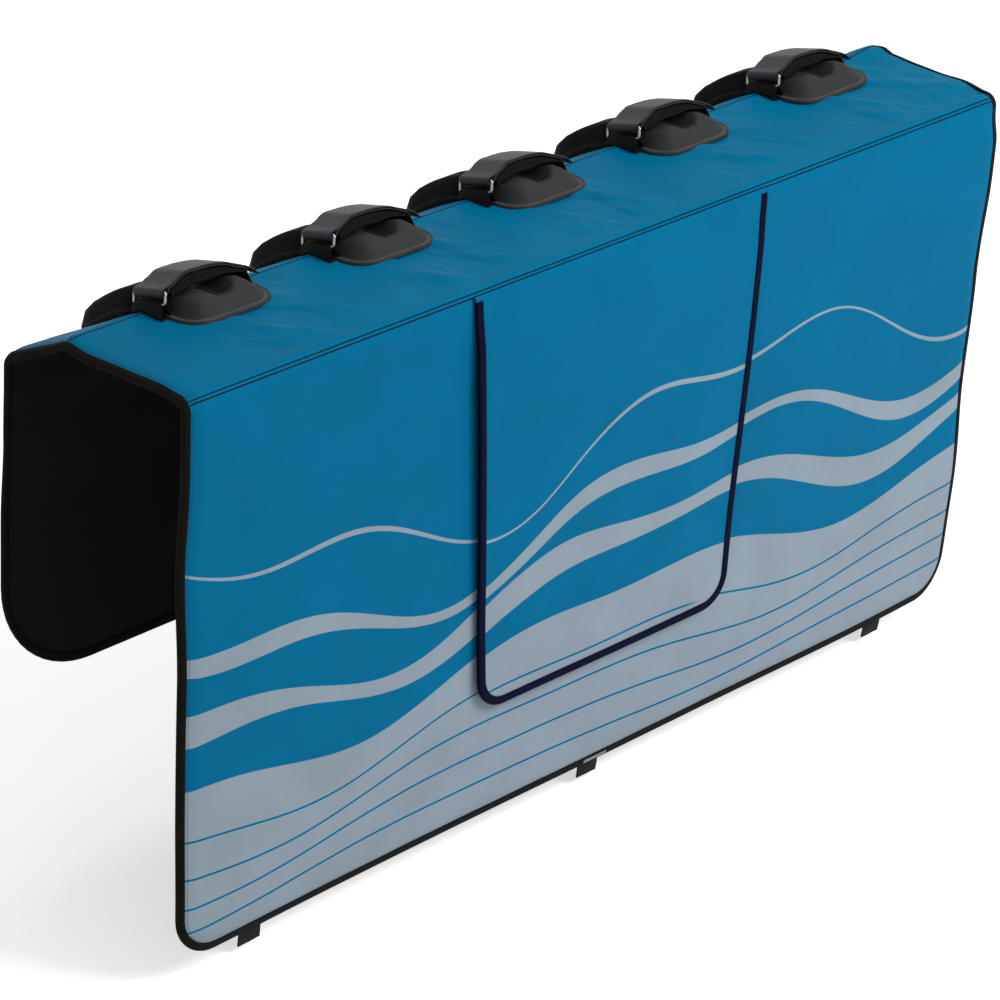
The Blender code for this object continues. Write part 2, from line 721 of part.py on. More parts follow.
def make_sleeve(name, place):
    """Padded sleeve under the strap, round at its edges."""
    half = SLEEVE_WIDTH / 2
    rings = []
    for x, bottom, top in SLEEVE_PROFILE:
        height = top - bottom
        edge = height * SLEEVE_EDGE_SHARE
        middle = (top + bottom) / 2
        section = ((edge - half, bottom), (half - edge, bottom), (half, middle),
                   (half - edge, top), (edge - half, top), (-half, middle))
        rings.append([place(x, n, s) for s, n in section])
    loft(name, rings, False, "sleeve_fabric")


def make_ring(name, place):
    """Rectangular wire ring in which the strap turns back."""
    half = STRAP_WIDTH / 2 + RING_CLEARANCE + BAR_RADIUS
    lower = Vector(LOWER_BAR)
    up = (Vector(UPPER_BAR) - lower).normalized()
    height = (Vector(UPPER_BAR) - lower).length
    radius = RING_CORNER_RADIUS
    across = Vector((up.y, -up.x))
    path = []
    for centre_s, centre_h, start in (
        (half - radius, height - radius, 0.0),
        (radius - half, height - radius, math.pi / 2),
        (radius - half, radius, math.pi),
        (half - radius, radius, math.pi * 1.5),
    ):
        path += corner_path(centre_s, centre_h, radius, start, RING_CORNER_STEPS)
    rings = []
    for s, h, out in path:
        ring = []
        for step in range(RING_SIDES):
            angle = math.tau * step / RING_SIDES
            reach = BAR_RADIUS * math.cos(angle)
            side = BAR_RADIUS * math.sin(angle)
            at = lower + up * (h + reach * out[1]) + across * side
            ring.append(place(at.x, at.y, s + reach * out[0]))
        rings.append(ring)
    loft(name, rings, True, "ring_steel")


def make_cradle(number, centre):
    place = strap_place(centre)
    half = STRAP_WIDTH / 2
    make_cradle_base(f"cradle_base_{number}", centre)
    make_sleeve(f"padded_sleeve_{number}", place)
    prism(f"cradle_strap_{number}", band(strap_line()), -half, half, place, "webbing")
    make_ring(f"strap_ring_{number}", place)
    prism(f"ring_loop_{number}", band(loop_line()), -half, half, place, "webbing")


clear_scene()
parts = make_collection("tailgate_bike_pad")
cutters = make_collection("cutters")
materials = {name: make_material(name) for name in MATERIALS}

make_window(*make_pad())
make_access_flap()
make_closure()
make_hem_tabs()
for index in range(CRADLE_COUNT):
    middle = (CRADLE_COUNT - 1) / 2
    make_cradle(index + 1, CRADLE_OFFSET + (index - middle) * CRADLE_PITCH)
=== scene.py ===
"""Looks of the tailgate bike pad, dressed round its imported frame.

Metres, +Z up, in the frame of the part. The panels are laid out flat first: u runs along the pad, v
runs from the front hem over the top to the rear hem, and w is the height off the lining's inner
face. fold() lays such a point over the gate, and settle() is how far the whole pad has sagged or
waved there, so that all its layers move together.
"""

import math

import bmesh
import bpy
import numpy as np
from mathutils import Matrix, Vector


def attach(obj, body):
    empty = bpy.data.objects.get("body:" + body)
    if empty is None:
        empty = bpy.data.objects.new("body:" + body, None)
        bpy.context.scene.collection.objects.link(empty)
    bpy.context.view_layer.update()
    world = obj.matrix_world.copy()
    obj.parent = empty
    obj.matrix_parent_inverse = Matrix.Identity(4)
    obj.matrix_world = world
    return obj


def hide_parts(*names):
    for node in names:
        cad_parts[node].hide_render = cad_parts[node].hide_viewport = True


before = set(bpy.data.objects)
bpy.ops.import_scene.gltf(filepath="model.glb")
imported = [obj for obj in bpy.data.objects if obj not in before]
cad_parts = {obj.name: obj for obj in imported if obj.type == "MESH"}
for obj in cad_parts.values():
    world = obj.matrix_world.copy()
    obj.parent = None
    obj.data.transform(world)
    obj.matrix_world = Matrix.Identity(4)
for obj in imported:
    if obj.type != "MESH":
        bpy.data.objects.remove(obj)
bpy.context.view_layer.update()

# Dimensions as in the part, except the rear flap's drop and corners and the straps' width and place,
# which are drawn a little differently here
LENGTH = 1.370
FRONT_DROP = 0.6935
TOP_DEPTH = 0.200
SLOPE_ANGLE = math.radians(30.0)
SLOPE_LENGTH = 0.1038
REAR_DROP = 0.414
LINING = 0.0012
FOAM = 0.009
SHELL = 0.0012
GAP = 0.0003
FRONT_CORNER_RADIUS = 0.008
REAR_SEAM_RADIUS = 0.012
REAR_CORNER_RADIUS = 0.006
FRONT_SEAM_SHARE = 0.375
FRONT_HEM_RADIUS = 0.055
REAR_HEM_RADIUS = 0.130
EDGE_RISE = 0.0015
TAPE = 0.001
TAPE_WIDTH = 0.011
FLAP_WIDTH = 0.500
FLAP_LOW_WIDTH = 0.435
FLAP_DROP = 0.543
FLAP_THICKNESS = 0.0024
FLAP_RADIUS = 0.040
FLAP_EASE = 0.060
FLAP_TAPE_WIDTH = 0.010
WINDOW_WIDTH = 0.400
WINDOW_TOP_DROP = 0.075
WINDOW_BOTTOM_DROP = 0.470
WINDOW_RADIUS = 0.030
CLOSURE_THICKNESS = 0.0012
CLOSURE_WIDTH = 0.300
CLOSURE_HEIGHT = 0.025
CLOSURE_DROP = 0.495
TAB_PLACES = tuple(LENGTH * share for share in (-0.4124, 0.0044, 0.4029))
TAB_WIDTH = 0.034
TAB_THICKNESS = 0.002
TAB_HANG = 0.022
TAB_SEWN = 0.035
CRADLE_COUNT = 5
CRADLE_PITCH = LENGTH * 0.1876
CRADLE_OFFSET = 0.0235
BASE_WIDTH = 0.137
BASE_AHEAD_OF_SEAM = 0.0745
BASE_BEHIND_SEAM = 0.122
BASE_CORNER_RADIUS = 0.035
BASE_LIP = 0.004
BASE_LIP_WIDTH = 0.008
BASE_DOME = 0.022
BASE_STEEP_RAMP = 0.016
BASE_LONG_RAMP = 0.034
GROOVE_DEPTH = 0.017
GROOVE_FLOOR = 0.010
GROOVE_HALF_WIDTH = 0.027
SEAT_HALF_WIDTH = 0.028
SEAT_FLANK = 0.009
STRAP_WIDTH = 0.048
STRAP_THICKNESS = 0.002
STRAP_CENTRE = -0.0100
STRAP_FREE_END = 0.019
TIP_ANGLE = math.radians(-27.0)
SLEEVE_PROFILE = (
    (-0.058, 0.0125, 0.0240),
    (-0.046, 0.0135, 0.0290),
    (-0.032, 0.0160, 0.0340),
    (-0.008, 0.0185, 0.0335),
    (0.020, 0.0185, 0.0300),
    (0.038, 0.0165, 0.0235),
    (0.052, 0.0145, 0.0180),
)
BAR_RADIUS = 0.0022
RING_RISE = 0.0135
RING_LEAN = 0.0035
STRAP_MEETS_BAR = math.radians(-60.0)
RING_CORNER_RADIUS = 0.003

THICKNESS = LINING + GAP + FOAM + GAP + SHELL
TAPE_STANDOFF = GAP + TAPE
FOAM_BASE = LINING + GAP
HALF_LENGTH = LENGTH / 2 - TAPE_STANDOFF
HALF_SLOPE = SLOPE_ANGLE / 2
REAR_TURN = math.pi / 2 - SLOPE_ANGLE
FRONT_SETBACK = FRONT_CORNER_RADIUS + THICKNESS
SEAM_SETBACK = (REAR_SEAM_RADIUS + THICKNESS) * math.tan(HALF_SLOPE)
REAR_SETBACK = (REAR_CORNER_RADIUS + THICKNESS) * math.tan(REAR_TURN / 2)
FRONT_RUN = FRONT_DROP - FRONT_SETBACK - TAPE_STANDOFF
TOP_RUN = TOP_DEPTH - FRONT_SETBACK - SEAM_SETBACK
SLOPE_RUN = SLOPE_LENGTH - SEAM_SETBACK - REAR_SETBACK
REAR_RUN = REAR_DROP - REAR_SETBACK - TAPE_STANDOFF
SECTION = (
    (FRONT_RUN, 0.0),
    (FRONT_CORNER_RADIUS * math.pi / 2, math.pi / 2),
    (TOP_RUN, 0.0),
    (REAR_SEAM_RADIUS * SLOPE_ANGLE, SLOPE_ANGLE),
    (SLOPE_RUN, 0.0),
    (REAR_CORNER_RADIUS * REAR_TURN, REAR_TURN),
    (REAR_RUN, 0.0),
)
MARKS = [sum(length for length, turn in SECTION[:count]) for count in range(len(SECTION) + 1)]
V_END = MARKS[-1]
V_FRONT_SEAM = MARKS[1] + FRONT_SEAM_SHARE * (MARKS[2] - MARKS[1])
V_REAR_SEAM = (MARKS[3] + MARKS[4]) / 2
V_TOP_FACE = MARKS[1] + FRONT_CORNER_RADIUS + THICKNESS
FLAP_SEWN = GAP + TAPE + GAP
FLAP_PROUD = 2 * CLOSURE_THICKNESS + 3 * GAP - FLAP_SEWN
FLAP_TOP = V_FRONT_SEAM - GAP
FLAP_LOW = V_TOP_FACE - FLAP_DROP + TAPE_STANDOFF

# (drop, height) of the waves along the two ends of the front panel
NEAR_WAVE = ((0.0, 0.0), (0.10, 0.0), (0.205, -0.0050), (0.345, 0.0022), (0.50, 0.0020), (0.66, 0.0045))
FAR_WAVE = ((0.0, 0.0), (0.06, 0.0065), (0.12, 0.0070), (0.25, 0.0), (0.41, -0.0048), (0.53, 0.0),
            (0.68, -0.005))
WAVE_REACH = 0.15
# (distance behind the front corner, height) of the waves along the two ends of the top
NEAR_TOP_WAVE = ((0.0, 0.0), (0.030, 0.0022), (0.085, 0.0), (0.145, -0.0022), (0.170, 0.0010), (0.200, 0.0))
FAR_TOP_WAVE = ((0.0, 0.0), (0.035, 0.0045), (0.070, 0.0030), (0.110, 0.0040), (0.150, 0.0060),
                (0.166, 0.0110), (0.182, 0.0080), (0.23, 0.0))
TOP_WAVE_REACH = 0.055
# How far the far end leans out along the pad: (drop, reach)
FAR_LEAN = ((-0.02, 0.0160), (0.05, 0.0165), (0.20, 0.0110), (0.44, 0.0075), (0.60, 0.0015), (0.68, 0.0))
LEAN_REACH = 0.10
SAG = 0.0050
# How much steeper the slope hangs in the middle of the pad and how much flatter at its ends
SLOPE_DROOP = 0.0035
SLOPE_LIFT = 0.0070
SLOPE_LIFT_REACH = 0.08
SLOPE_CROWN = 0.0030
REAR_BOW = 0.0030
# How far the rear flap swings out: (share of its drop, distance)
REAR_SWING = ((0.0, 0.0), (0.22, 0.0075), (0.48, 0.0120), (1.0, 0.0125))
# How the padding thins towards the bound edge, and the widths of the tape there
EDGE_ROLL = 0.024
EDGE_POWER = 1.8
EDGE_SQUEEZE = 0.40
END_TAPE_WIDTH = 0.0062
FAR_TAPE_WIDTH = 0.0100
HEM_TAPE_WIDTH = 0.0118
# Width of the painted shade darkened into the cover's colour along the seams' stitch rows
SEWN_SHADE = 0.0006
# Heights of the small unevenness of the cloth, and where its larger waves fade out
CALM_HEIGHT = 0.0012
DIMPLE_HEIGHT = 0.00025
FRONT_FADE = 0.05
SAG_LOST_BEHIND = 0.7
SAG_END = 0.03
SLOPE_END = 0.10

# Spacing of the meshes' columns and rows
COLUMN_STEP = 0.006
ROW_STEP = 0.006
REAR_STEP = 0.010
LINING_STEP = 0.0112
PADDING_STEP = 0.018
PATH_STEP = 0.006
ROLLED_COLUMNS = np.array([0.0, 0.03, 0.1, 0.2, 0.35, 0.55, 0.8, 1.0])
COVER_ROWS = (0.030, 0.024, 0.019, 0.015, 0.012, 0.009, 0.006, 0.0035, 0.0015, 0.0006, 0.0)
FLAP_ROWS = (0.030, 0.024, 0.019, 0.015, 0.012, 0.009, 0.006, 0.003, 0.001, 0.0)
SEAM_ROWS = np.array([0.0003, 0.0006, 0.0010, 0.0015, 0.0020, 0.0026, 0.0031, 0.0035, 0.0039, 0.0043,
                      0.0047, 0.0052, 0.0060, 0.0070, 0.0085, 0.0105, 0.0130, 0.0165])
WIDE_SEAM_ROWS = SEAM_ROWS[-6:]
HEM_STEPS = 13
CORNER_STEPS = 14
SLEEVE_STATIONS = 64
SLEEVE_SIDES = 40
RING_STEPS = 16

# The seams, on the outer face: (distance behind the seam, height)
SEAM_RIDGE = ((-0.1, 0.0), (0.0, 0.0001), (0.0006, 0.0011), (0.0020, 0.0014), (0.0034, 0.0009),
              (0.0043, -0.0002), (0.0052, 0.0004), (0.009, 0.0007), (0.022, 0.0), (0.1, 0.0))
SEAM_HOLLOW = ((0.0, 0.0), (0.0018, 0.0), (0.0080, -0.0030), (0.045, 0.0), (0.1, 0.0))
SEAM_TUCK = 0.0007
SEAM_TUCK_REACH = 0.003
# Lengths on the pattern over lengths on the outer face, where the pad bends at its seams
FRONT_BEND = 0.36
REAR_BEND = 0.50
STITCH_INSET = 0.0043
FRONT_STITCH_ROW = V_FRONT_SEAM + STITCH_INSET * FRONT_BEND
REAR_STITCH_ROW = V_REAR_SEAM - GAP - STITCH_INSET * REAR_BEND

# Creases of the top cover, and how steeply they run along and across the pad at each cradle
WRINKLE_HEIGHT = 0.0036
WRINKLE_REACH = 0.085
WRINKLE_SHIFT = 0.02
CREASES = ((62.0, 34.0), (63.0, 23.0), (64.0, 12.0), (65.0, 34.0), (62.0, 23.0))

# The print: drop, thickness, phase, height of the wave and share of the second wave
WAVE_LINES = (
    (0.250, 0.0050, 0.0, 0.046, 0.55),
    (0.338, 0.0200, 0.5, 0.040, 0.45),
    (0.408, 0.0300, 1.0, 0.034, 0.40),
)
# Drop, phase, height of the wave and share of the second wave
GREY_FROM = (0.478, 1.45, 0.028, 0.35)
HAIR_LINES = (
    (0.536, 1.9, 0.022, 0.30),
    (0.578, 2.3, 0.017, 0.25),
    (0.614, 2.7, 0.012, 0.2),
    (0.648, 3.1, 0.007, 0.2),
)
HAIR_WIDTH = 0.0028
PRINT_MARGIN = 0.009
LONG_SWELL = 0.93
SHORT_SWELL = 0.41
THICKNESS_SWELL = 0.57

# The window, the flap over it and the tabs
WINDOW_GROWTH = 0.003
FLAP_BULGE = 0.0055
FLAP_FLARE = 0.0030
FLAP_FOLDS = 0.0011
TAB_CURLS = (-0.0005, -0.0015, -0.0025)

# The cradles
WING_CORNER_RADIUS = 0.009
WING_FLARE = 0.011
WING_RISE = 0.0045
# Behind this place a base's faces take a darker copy of its rubber: painted shade on the wing, which faces
# away from the light
WING_SHADE_START = V_REAR_SEAM + 0.012
NOTCH_REACH = 0.022
NOTCH_SHARE = 0.50
CHANNEL_INSETS = (0.0038, 0.0062)
CHANNEL_DEPTH = 0.0010
CHANNEL_WIDTH = 0.0008
WRAP_SLACK = 0.0030
LOOP_BULGE = 0.0085
LOOP_FOOT = 0.0016
WIRE_RADIUS = 0.0016
DRAPE_REACH = 0.012
SLEEVE_SPREAD = 0.051
SLEEVE_SLUMP = 0.0022
SLEEVE_SQUARENESS = 0.62
BAND_COLUMNS = np.array([-1.0, -0.97, -0.88, -0.6, -0.3, 0.0, 0.3, 0.6, 0.88, 0.97, 1.0])
BAND_FULLNESS = np.array([0.35, 0.8, 1.0, 1.0, 1.0, 1.0, 1.0, 1.0, 1.0, 0.8, 0.35])

# Stitches: pitch, length, width and height
SEAM_STITCH = (0.0044, 0.0031, 0.0011, 0.0011)
# The lower seam rows: stitches laid end to end as one dark cord in the groove, partly the seam's thread and
# partly painted shade of the folded edge
SEAM_SHADE_CORD = (0.0030, 0.0031, 0.0014, 0.0014)
TAPE_STITCH = (0.0045, 0.0031, 0.0006, 0.0005)
FLANGE_STITCH = (0.0034, 0.0023, 0.0009, 0.0008)
TACK_STITCH = (0.0009, 0.0062, 0.0010, 0.0008)
TAPE_STITCH_INSET = TAPE_WIDTH - 0.0022
TACK_REACH = 0.0195
TACK_V = 0.0048

# Waves per metre of the weaves, piles and grains, and the pitch of the tape's ribs in metres
COAT_WEAVE = 240.0
NAP = 900.0
TAPE_THREADS = 420.0
RIB_PITCH = 0.0016
YARNS = 330.0
PICKS = 210.0
PILE = 700.0
RUBBER_GRAIN = 1500.0
WIRE_MARKS = 400.0
PLIES = 1200.0

# Camera, floor and light
FOCAL_LENGTH = 4.630
SENSOR = 36.0
EYE = (-3.7200, -3.2961, 2.0566)
AZIMUTH = math.radians(47.90)
ELEVATION = math.radians(26.01)
ROLL = math.radians(2.90)
FLOOR = -0.712
FLOOR_SIZE = 15.0
FLOOR_GLOW = 0.50
WORLD_LIGHT = 0.42
AIM = (0.0, 0.0, -0.25)
# Name, place, size and power of the lights
SOFTBOXES = (
    ("key_softbox", (1.7, -3.0, 2.7), (2.2, 2.2), 160.0),
    ("overhead_softbox", (0.0, 0.3, 3.4), (3.0, 2.0), 22.0),
)
WHITE = (1.0, 1.0, 1.0, 1.0)


def ramp(value):
    value = np.clip(value, 0.0, 1.0)
    return value * value * (3 - 2 * value)


def curve_through(points, x):
    """A smooth line through (x, y) points, level at each of them."""
    xs = np.array([point[0] for point in points])
    ys = np.array([point[1] for point in points])
    x = np.clip(x, xs[0], xs[-1])
    index = np.clip(np.searchsorted(xs, x, side="right") - 1, 0, len(xs) - 2)
    share = ramp((x - xs[index]) / (xs[index + 1] - xs[index]))
    return ys[index] + (ys[index + 1] - ys[index]) * share


def fold(u, v, w):
    """Lay points of the flat pattern over the gate."""
    u, v, w = np.broadcast_arrays(*(np.asarray(item, float) for item in (u, v, w)))
    y = np.full(u.shape, -TOP_RUN / 2 - FRONT_CORNER_RADIUS)
    z = np.full(u.shape, -FRONT_RUN - FRONT_CORNER_RADIUS)
    turn = np.zeros(u.shape)
    last = len(SECTION) - 1
    for index, (length, angle) in enumerate(SECTION):
        low = -np.inf if index == 0 else 0.0
        high = np.inf if index == last else length
        step = np.clip(v - MARKS[index], low, high)
        turned = angle * step / length
        if angle:
            radius = length / angle
            y = y + radius * (np.cos(turn) - np.cos(turn + turned))
            z = z + radius * (np.sin(turn + turned) - np.sin(turn))
        else:
            y = y + step * np.sin(turn)
            z = z + step * np.cos(turn)
        turn = turn + turned
    return np.stack((u, y - w * np.cos(turn), z + w * np.sin(turn)), axis=-1)


def v_at_drop(drop):
    return V_TOP_FACE - drop


def at_end(u, side, reach):
    """How much of a wave at one end, side -1 or 1, is felt at u."""
    return np.exp(-((u - side * HALF_LENGTH) / reach) ** 2)


def settle(u, v):
    """How far the pad stands out or in from its flat panels."""
    u, v = np.broadcast_arrays(np.asarray(u, float), np.asarray(v, float))
    drop = V_TOP_FACE - v
    on_front = ramp((MARKS[1] - v) / FRONT_FADE)
    near = curve_through(NEAR_WAVE, drop) * at_end(u, -1, WAVE_REACH)
    far = curve_through(FAR_WAVE, drop) * at_end(u, 1, WAVE_REACH)
    calm = CALM_HEIGHT * np.sin(u * 9.0 + v * 4.0) * np.sin(v * 11.0 - u * 2.0)
    front = on_front * (near + far + calm)
    along = np.cos(math.pi * u / LENGTH) ** 2
    up_to_seam = ramp((v - MARKS[2]) / (MARKS[3] - MARKS[2]))
    after_seam = 1 - SAG_LOST_BEHIND * ramp((v - MARKS[4]) / SLOPE_RUN)
    sag = -SAG * along * up_to_seam * np.where(v > MARKS[4], after_seam, 1.0)
    sag = sag * (1 - ramp((v - MARKS[5]) / SAG_END))
    down = np.clip((v - MARKS[6]) / REAR_RUN, 0.0, 1.0)
    bow = REAR_BOW * np.sin(math.pi * down) * (0.6 + 0.4 * np.cos(u * 5.0)) + curve_through(REAR_SWING, down)
    behind = v - MARKS[2]
    near_top = curve_through(NEAR_TOP_WAVE, behind) * at_end(u, -1, TOP_WAVE_REACH)
    far_top = curve_through(FAR_TOP_WAVE, behind) * at_end(u, 1, TOP_WAVE_REACH)
    at_ends = np.exp(-((HALF_LENGTH - np.abs(u)) / SLOPE_LIFT_REACH) ** 2)
    down_slope = np.clip((v - MARKS[4]) / SLOPE_RUN, 0.0, 1.0) * (1 - ramp((v - MARKS[5]) / SLOPE_END))
    slope = down_slope * (SLOPE_LIFT * at_ends - SLOPE_DROOP * (1 - at_ends))
    return front + sag + bow + near_top + far_top + slope


def lay(u, v, w):
    """Lay points of the flat pattern over the gate as the cloth has settled."""
    u, v = np.broadcast_arrays(np.asarray(u, float), np.asarray(v, float))
    lean = curve_through(FAR_LEAN, V_TOP_FACE - v) * at_end(u, 1, LEAN_REACH)
    return fold(u + lean, v, w + settle(u, v))


def half_width(v):
    """Half of the pad's width at v, round at the four hem corners."""
    radius = np.where(v < V_END / 2, FRONT_HEM_RADIUS, REAR_HEM_RADIUS)
    into_corner = np.maximum(0.0, radius - np.minimum(v, V_END - v))
    return HALF_LENGTH - radius + np.sqrt(np.maximum(0.0, radius ** 2 - into_corner ** 2))


def rounded_inset(side, end, radius):
    """Distance in from a rounded outline, from the distances to its nearest side and end."""
    corner = radius - np.hypot(radius - side, radius - end)
    inset = np.where((side < radius) & (end < radius), corner, np.minimum(side, end))
    return np.maximum(0.0, inset)


def inset_at(u, v):
    radius = np.where(v < V_END / 2, FRONT_HEM_RADIUS, REAR_HEM_RADIUS)
    return rounded_inset(HALF_LENGTH - np.abs(u), np.minimum(v, V_END - v), radius)


def edge_round(inset):
    """How full the padding is at a distance in from the bound edge, from 0 to 1."""
    share = np.clip(inset / EDGE_ROLL, 0.0, 1.0)
    return 1 - (1 - share) ** EDGE_POWER


def edge_rise(inset):
    return EDGE_RISE * (1 - edge_round(inset))


def foam_top(inset):
    return FOAM_BASE + FOAM * (EDGE_SQUEEZE + (1 - EDGE_SQUEEZE) * edge_round(inset))


def add_flat(mesh, flat):
    """Keep each point's place on its cloth, in metres, for the weave."""
    layer = mesh.attributes.new("flat", "FLOAT_VECTOR", "POINT")
    layer.data.foreach_set("vector", np.asarray(flat, np.float32).ravel())


# The record's slot of each material. A piece whose first material isn't here is no part of the object.
SLOTS = {
    "blue_cover": "shell_fabric",
    "top_blue_cover": "shell_fabric",
    "dark_thread": "shell_fabric",
    "brushed_lining": "lining_fabric",
    "dark_foam": "foam",
    "hem_tape_cloth": "edge_tape",
    "brown_thread": "edge_tape",
    "flap_tape_cloth": "flap_tape",
    "closure_pile": "hook_and_loop",
    "tab_webbing": "webbing",
    "pale_thread": "webbing",
    "strap_webbing": "webbing",
    "loop_webbing": "webbing",
    "moulded_cradle": "moulded_pad",
    "light_thread": "moulded_pad",
    "quilted_cloth": "sleeve_fabric",
    "plated_wire": "ring_steel",
}


def make_piece(name, points, faces, materials, face_materials=None, flat=None, sharp=40.0):
    """A mesh of quads that rides on the frame."""
    points = np.asarray(points, float).reshape(-1, 3)
    faces = np.asarray(faces, np.int64).reshape(-1, 4)
    mesh = bpy.data.meshes.new(name)
    mesh.vertices.add(len(points))
    mesh.vertices.foreach_set("co", points.astype(np.float32).ravel())
    mesh.loops.add(faces.size)
    mesh.loops.foreach_set("vertex_index", faces.astype(np.int32).ravel())
    mesh.polygons.add(len(faces))
    mesh.polygons.foreach_set("loop_start", np.arange(0, faces.size, 4, dtype=np.int32))
    if face_materials is not None:
        mesh.polygons.foreach_set("material_index", np.asarray(face_materials, np.int32))
    mesh.update(calc_edges=True)
    mesh.validate()
    mesh.shade_smooth()
    mesh.set_sharp_from_angle(angle=math.radians(sharp))
    for material in materials:
        mesh.materials.append(material)
    if flat is not None:
        add_flat(mesh, flat)
    item = bpy.data.objects.new(name, mesh)
    bpy.context.scene.collection.objects.link(item)
    if materials[0].name in SLOTS:
        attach(item, "root")
    return item


def grid_faces(rows, columns):
    """Quads of a grid, their sides in the order column then row."""
    index = np.arange(rows * columns).reshape(rows, columns)
    return np.stack((index[:-1, :-1], index[:-1, 1:], index[1:, 1:], index[1:, :-1]), axis=-1).reshape(-1, 4)


def block_faces(quads, count):
    """Faces of a block with these quads outside and the same quads, count further on, inside."""
    starts = quads.ravel()
    ends = np.roll(quads, -1, axis=1).ravel()
    open_edge = ~np.isin(starts * count + ends, ends * count + starts)
    starts, ends = starts[open_edge], ends[open_edge]
    walls = np.stack((ends, starts, starts + count, ends + count), axis=-1)
    return np.concatenate((quads, quads[:, ::-1] + count, walls))


def cloth_block(name, u, v, low, high, materials, keep=None, face_index=None, sharp=40.0):
    """A layer of cloth or foam between two heights, on a grid of (u, v)."""
    rows, columns = u.shape
    quads = grid_faces(rows, columns)
    if keep is not None:
        quads = quads[keep(u, v).ravel()]
        face_index = None if face_index is None else face_index[keep(u, v).ravel()]
    faces = block_faces(quads, u.size)
    points = np.concatenate((lay(u, v, high).reshape(-1, 3), lay(u, v, low).reshape(-1, 3)))
    flat = np.stack((u, v, np.zeros(u.shape)), axis=-1).reshape(-1, 3)
    indices = None
    if face_index is not None:
        indices = np.zeros(len(faces), int)
        indices[:len(quads)] = face_index
        indices[len(quads):2 * len(quads)] = face_index
    piece = make_piece(name, points, faces, materials, indices, np.concatenate((flat, flat)), sharp)
    edit_mesh(piece, drop_loose)
    return piece


def edit_mesh(piece, change):
    mesh = bmesh.new()
    mesh.from_mesh(piece.data)
    change(mesh)
    mesh.to_mesh(piece.data)
    mesh.free()


def drop_loose(mesh):
    """Delete points that no face uses."""
    loose = [vertex for vertex in mesh.verts if not vertex.link_faces]
    bmesh.ops.delete(mesh, geom=loose, context="VERTS")


def face_outwards(mesh):
    bmesh.ops.recalc_face_normals(mesh, faces=mesh.faces[:])


def closed_rings(name, rings, flat, materials, round_trip, sharp=40.0):
    """Skin rings of points, (ring, point, 3), capped at both ends unless they close on themselves."""
    count, sides = rings.shape[:2]
    index = np.arange(count * sides).reshape(count, sides)
    after = np.roll(index, -1, axis=1)
    if round_trip:
        near, near_after = index, after
        far, far_after = np.roll(index, -1, axis=0), np.roll(after, -1, axis=0)
    else:
        near, near_after, far, far_after = index[:-1], after[:-1], index[1:], after[1:]
    faces = np.stack((near, near_after, far_after, far), axis=-1).reshape(-1, 4)
    piece = make_piece(name, rings, faces, materials, None, flat, sharp)

    def close(mesh):
        if not round_trip:
            mesh.verts.ensure_lookup_table()
            mesh.faces.new([mesh.verts[i] for i in index[0]])
            mesh.faces.new([mesh.verts[i] for i in index[-1]])
        face_outwards(mesh)
        for face in mesh.faces:
            face.smooth = True

    edit_mesh(piece, close)
    piece.data.set_sharp_from_angle(angle=math.radians(sharp))
    return piece


def new_material(name, colour, roughness, shine=0.5, metallic=0.0):
    material = bpy.data.materials.new(name)
    material.use_nodes = True
    tree = material.node_tree
    shader = tree.nodes["Principled BSDF"]
    shader.inputs["Base Color"].default_value = (*colour, 1.0)
    shader.inputs["Roughness"].default_value = roughness
    shader.inputs["Specular IOR Level"].default_value = shine
    shader.inputs["Metallic"].default_value = metallic
    return material, tree, shader


def linear(red, green, blue):
    """A colour of the screen, 0 to 255, as the light that a shader takes."""
    def one(level):
        level /= 255
        return level / 12.92 if level <= 0.04045 else ((level + 0.055) / 1.055) ** 2.4
    return one(red), one(green), one(blue)


def place_on_cloth(tree):
    node = tree.nodes.new("ShaderNodeAttribute")
    node.attribute_name = "flat"
    return node.outputs["Vector"]


def place_in_object(tree):
    return tree.nodes.new("ShaderNodeTexCoord").outputs["Object"]


def noise(tree, vector, scale, detail=2.0, roughness=0.5):
    node = tree.nodes.new("ShaderNodeTexNoise")
    node.inputs["Scale"].default_value = scale
    node.inputs["Detail"].default_value = detail
    node.inputs["Roughness"].default_value = roughness
    tree.links.new(vector, node.inputs["Vector"])
    return node.outputs["Fac"]


def wave(tree, vector, scale, direction, distortion=0.0):
    node = tree.nodes.new("ShaderNodeTexWave")
    node.wave_type = "BANDS"
    node.bands_direction = direction
    node.wave_profile = "SIN"
    node.inputs["Scale"].default_value = scale
    node.inputs["Distortion"].default_value = distortion
    node.inputs["Detail"].default_value = 0.0
    tree.links.new(vector, node.inputs["Vector"])
    return node.outputs["Fac"]


def calculate(tree, operation, first, second):
    node = tree.nodes.new("ShaderNodeMath")
    node.operation = operation
    for socket, value in zip(node.inputs, (first, second)):
        if isinstance(value, (int, float)):
            socket.default_value = value
        else:
            tree.links.new(value, socket)
    return node.outputs["Value"]


def bump(tree, shader, height, strength, distance):
    node = tree.nodes.new("ShaderNodeBump")
    node.inputs["Strength"].default_value = strength
    node.inputs["Distance"].default_value = distance
    tree.links.new(height, node.inputs["Height"])
    previous = shader.inputs["Normal"].links
    if previous:
        tree.links.new(previous[0].from_socket, node.inputs["Normal"])
    tree.links.new(node.outputs["Normal"], shader.inputs["Normal"])


def vary(tree, socket, factor, stops):
    """Drive a shader's socket by a ramp of (place, value or colour) stops over a factor."""
    node = tree.nodes.new("ShaderNodeValToRGB")
    elements = node.color_ramp.elements
    for index, (place, value) in enumerate(stops):
        element = elements[index] if index < 2 else elements.new(place)
        element.position = place
        element.color = (*value, 1.0) if isinstance(value, tuple) else (value, value, value, 1.0)
    tree.links.new(factor, node.inputs["Fac"])
    tree.links.new(node.outputs["Color"], socket)


def tint(colour, factor):
    return tuple(min(channel * factor, 1.0) for channel in colour)


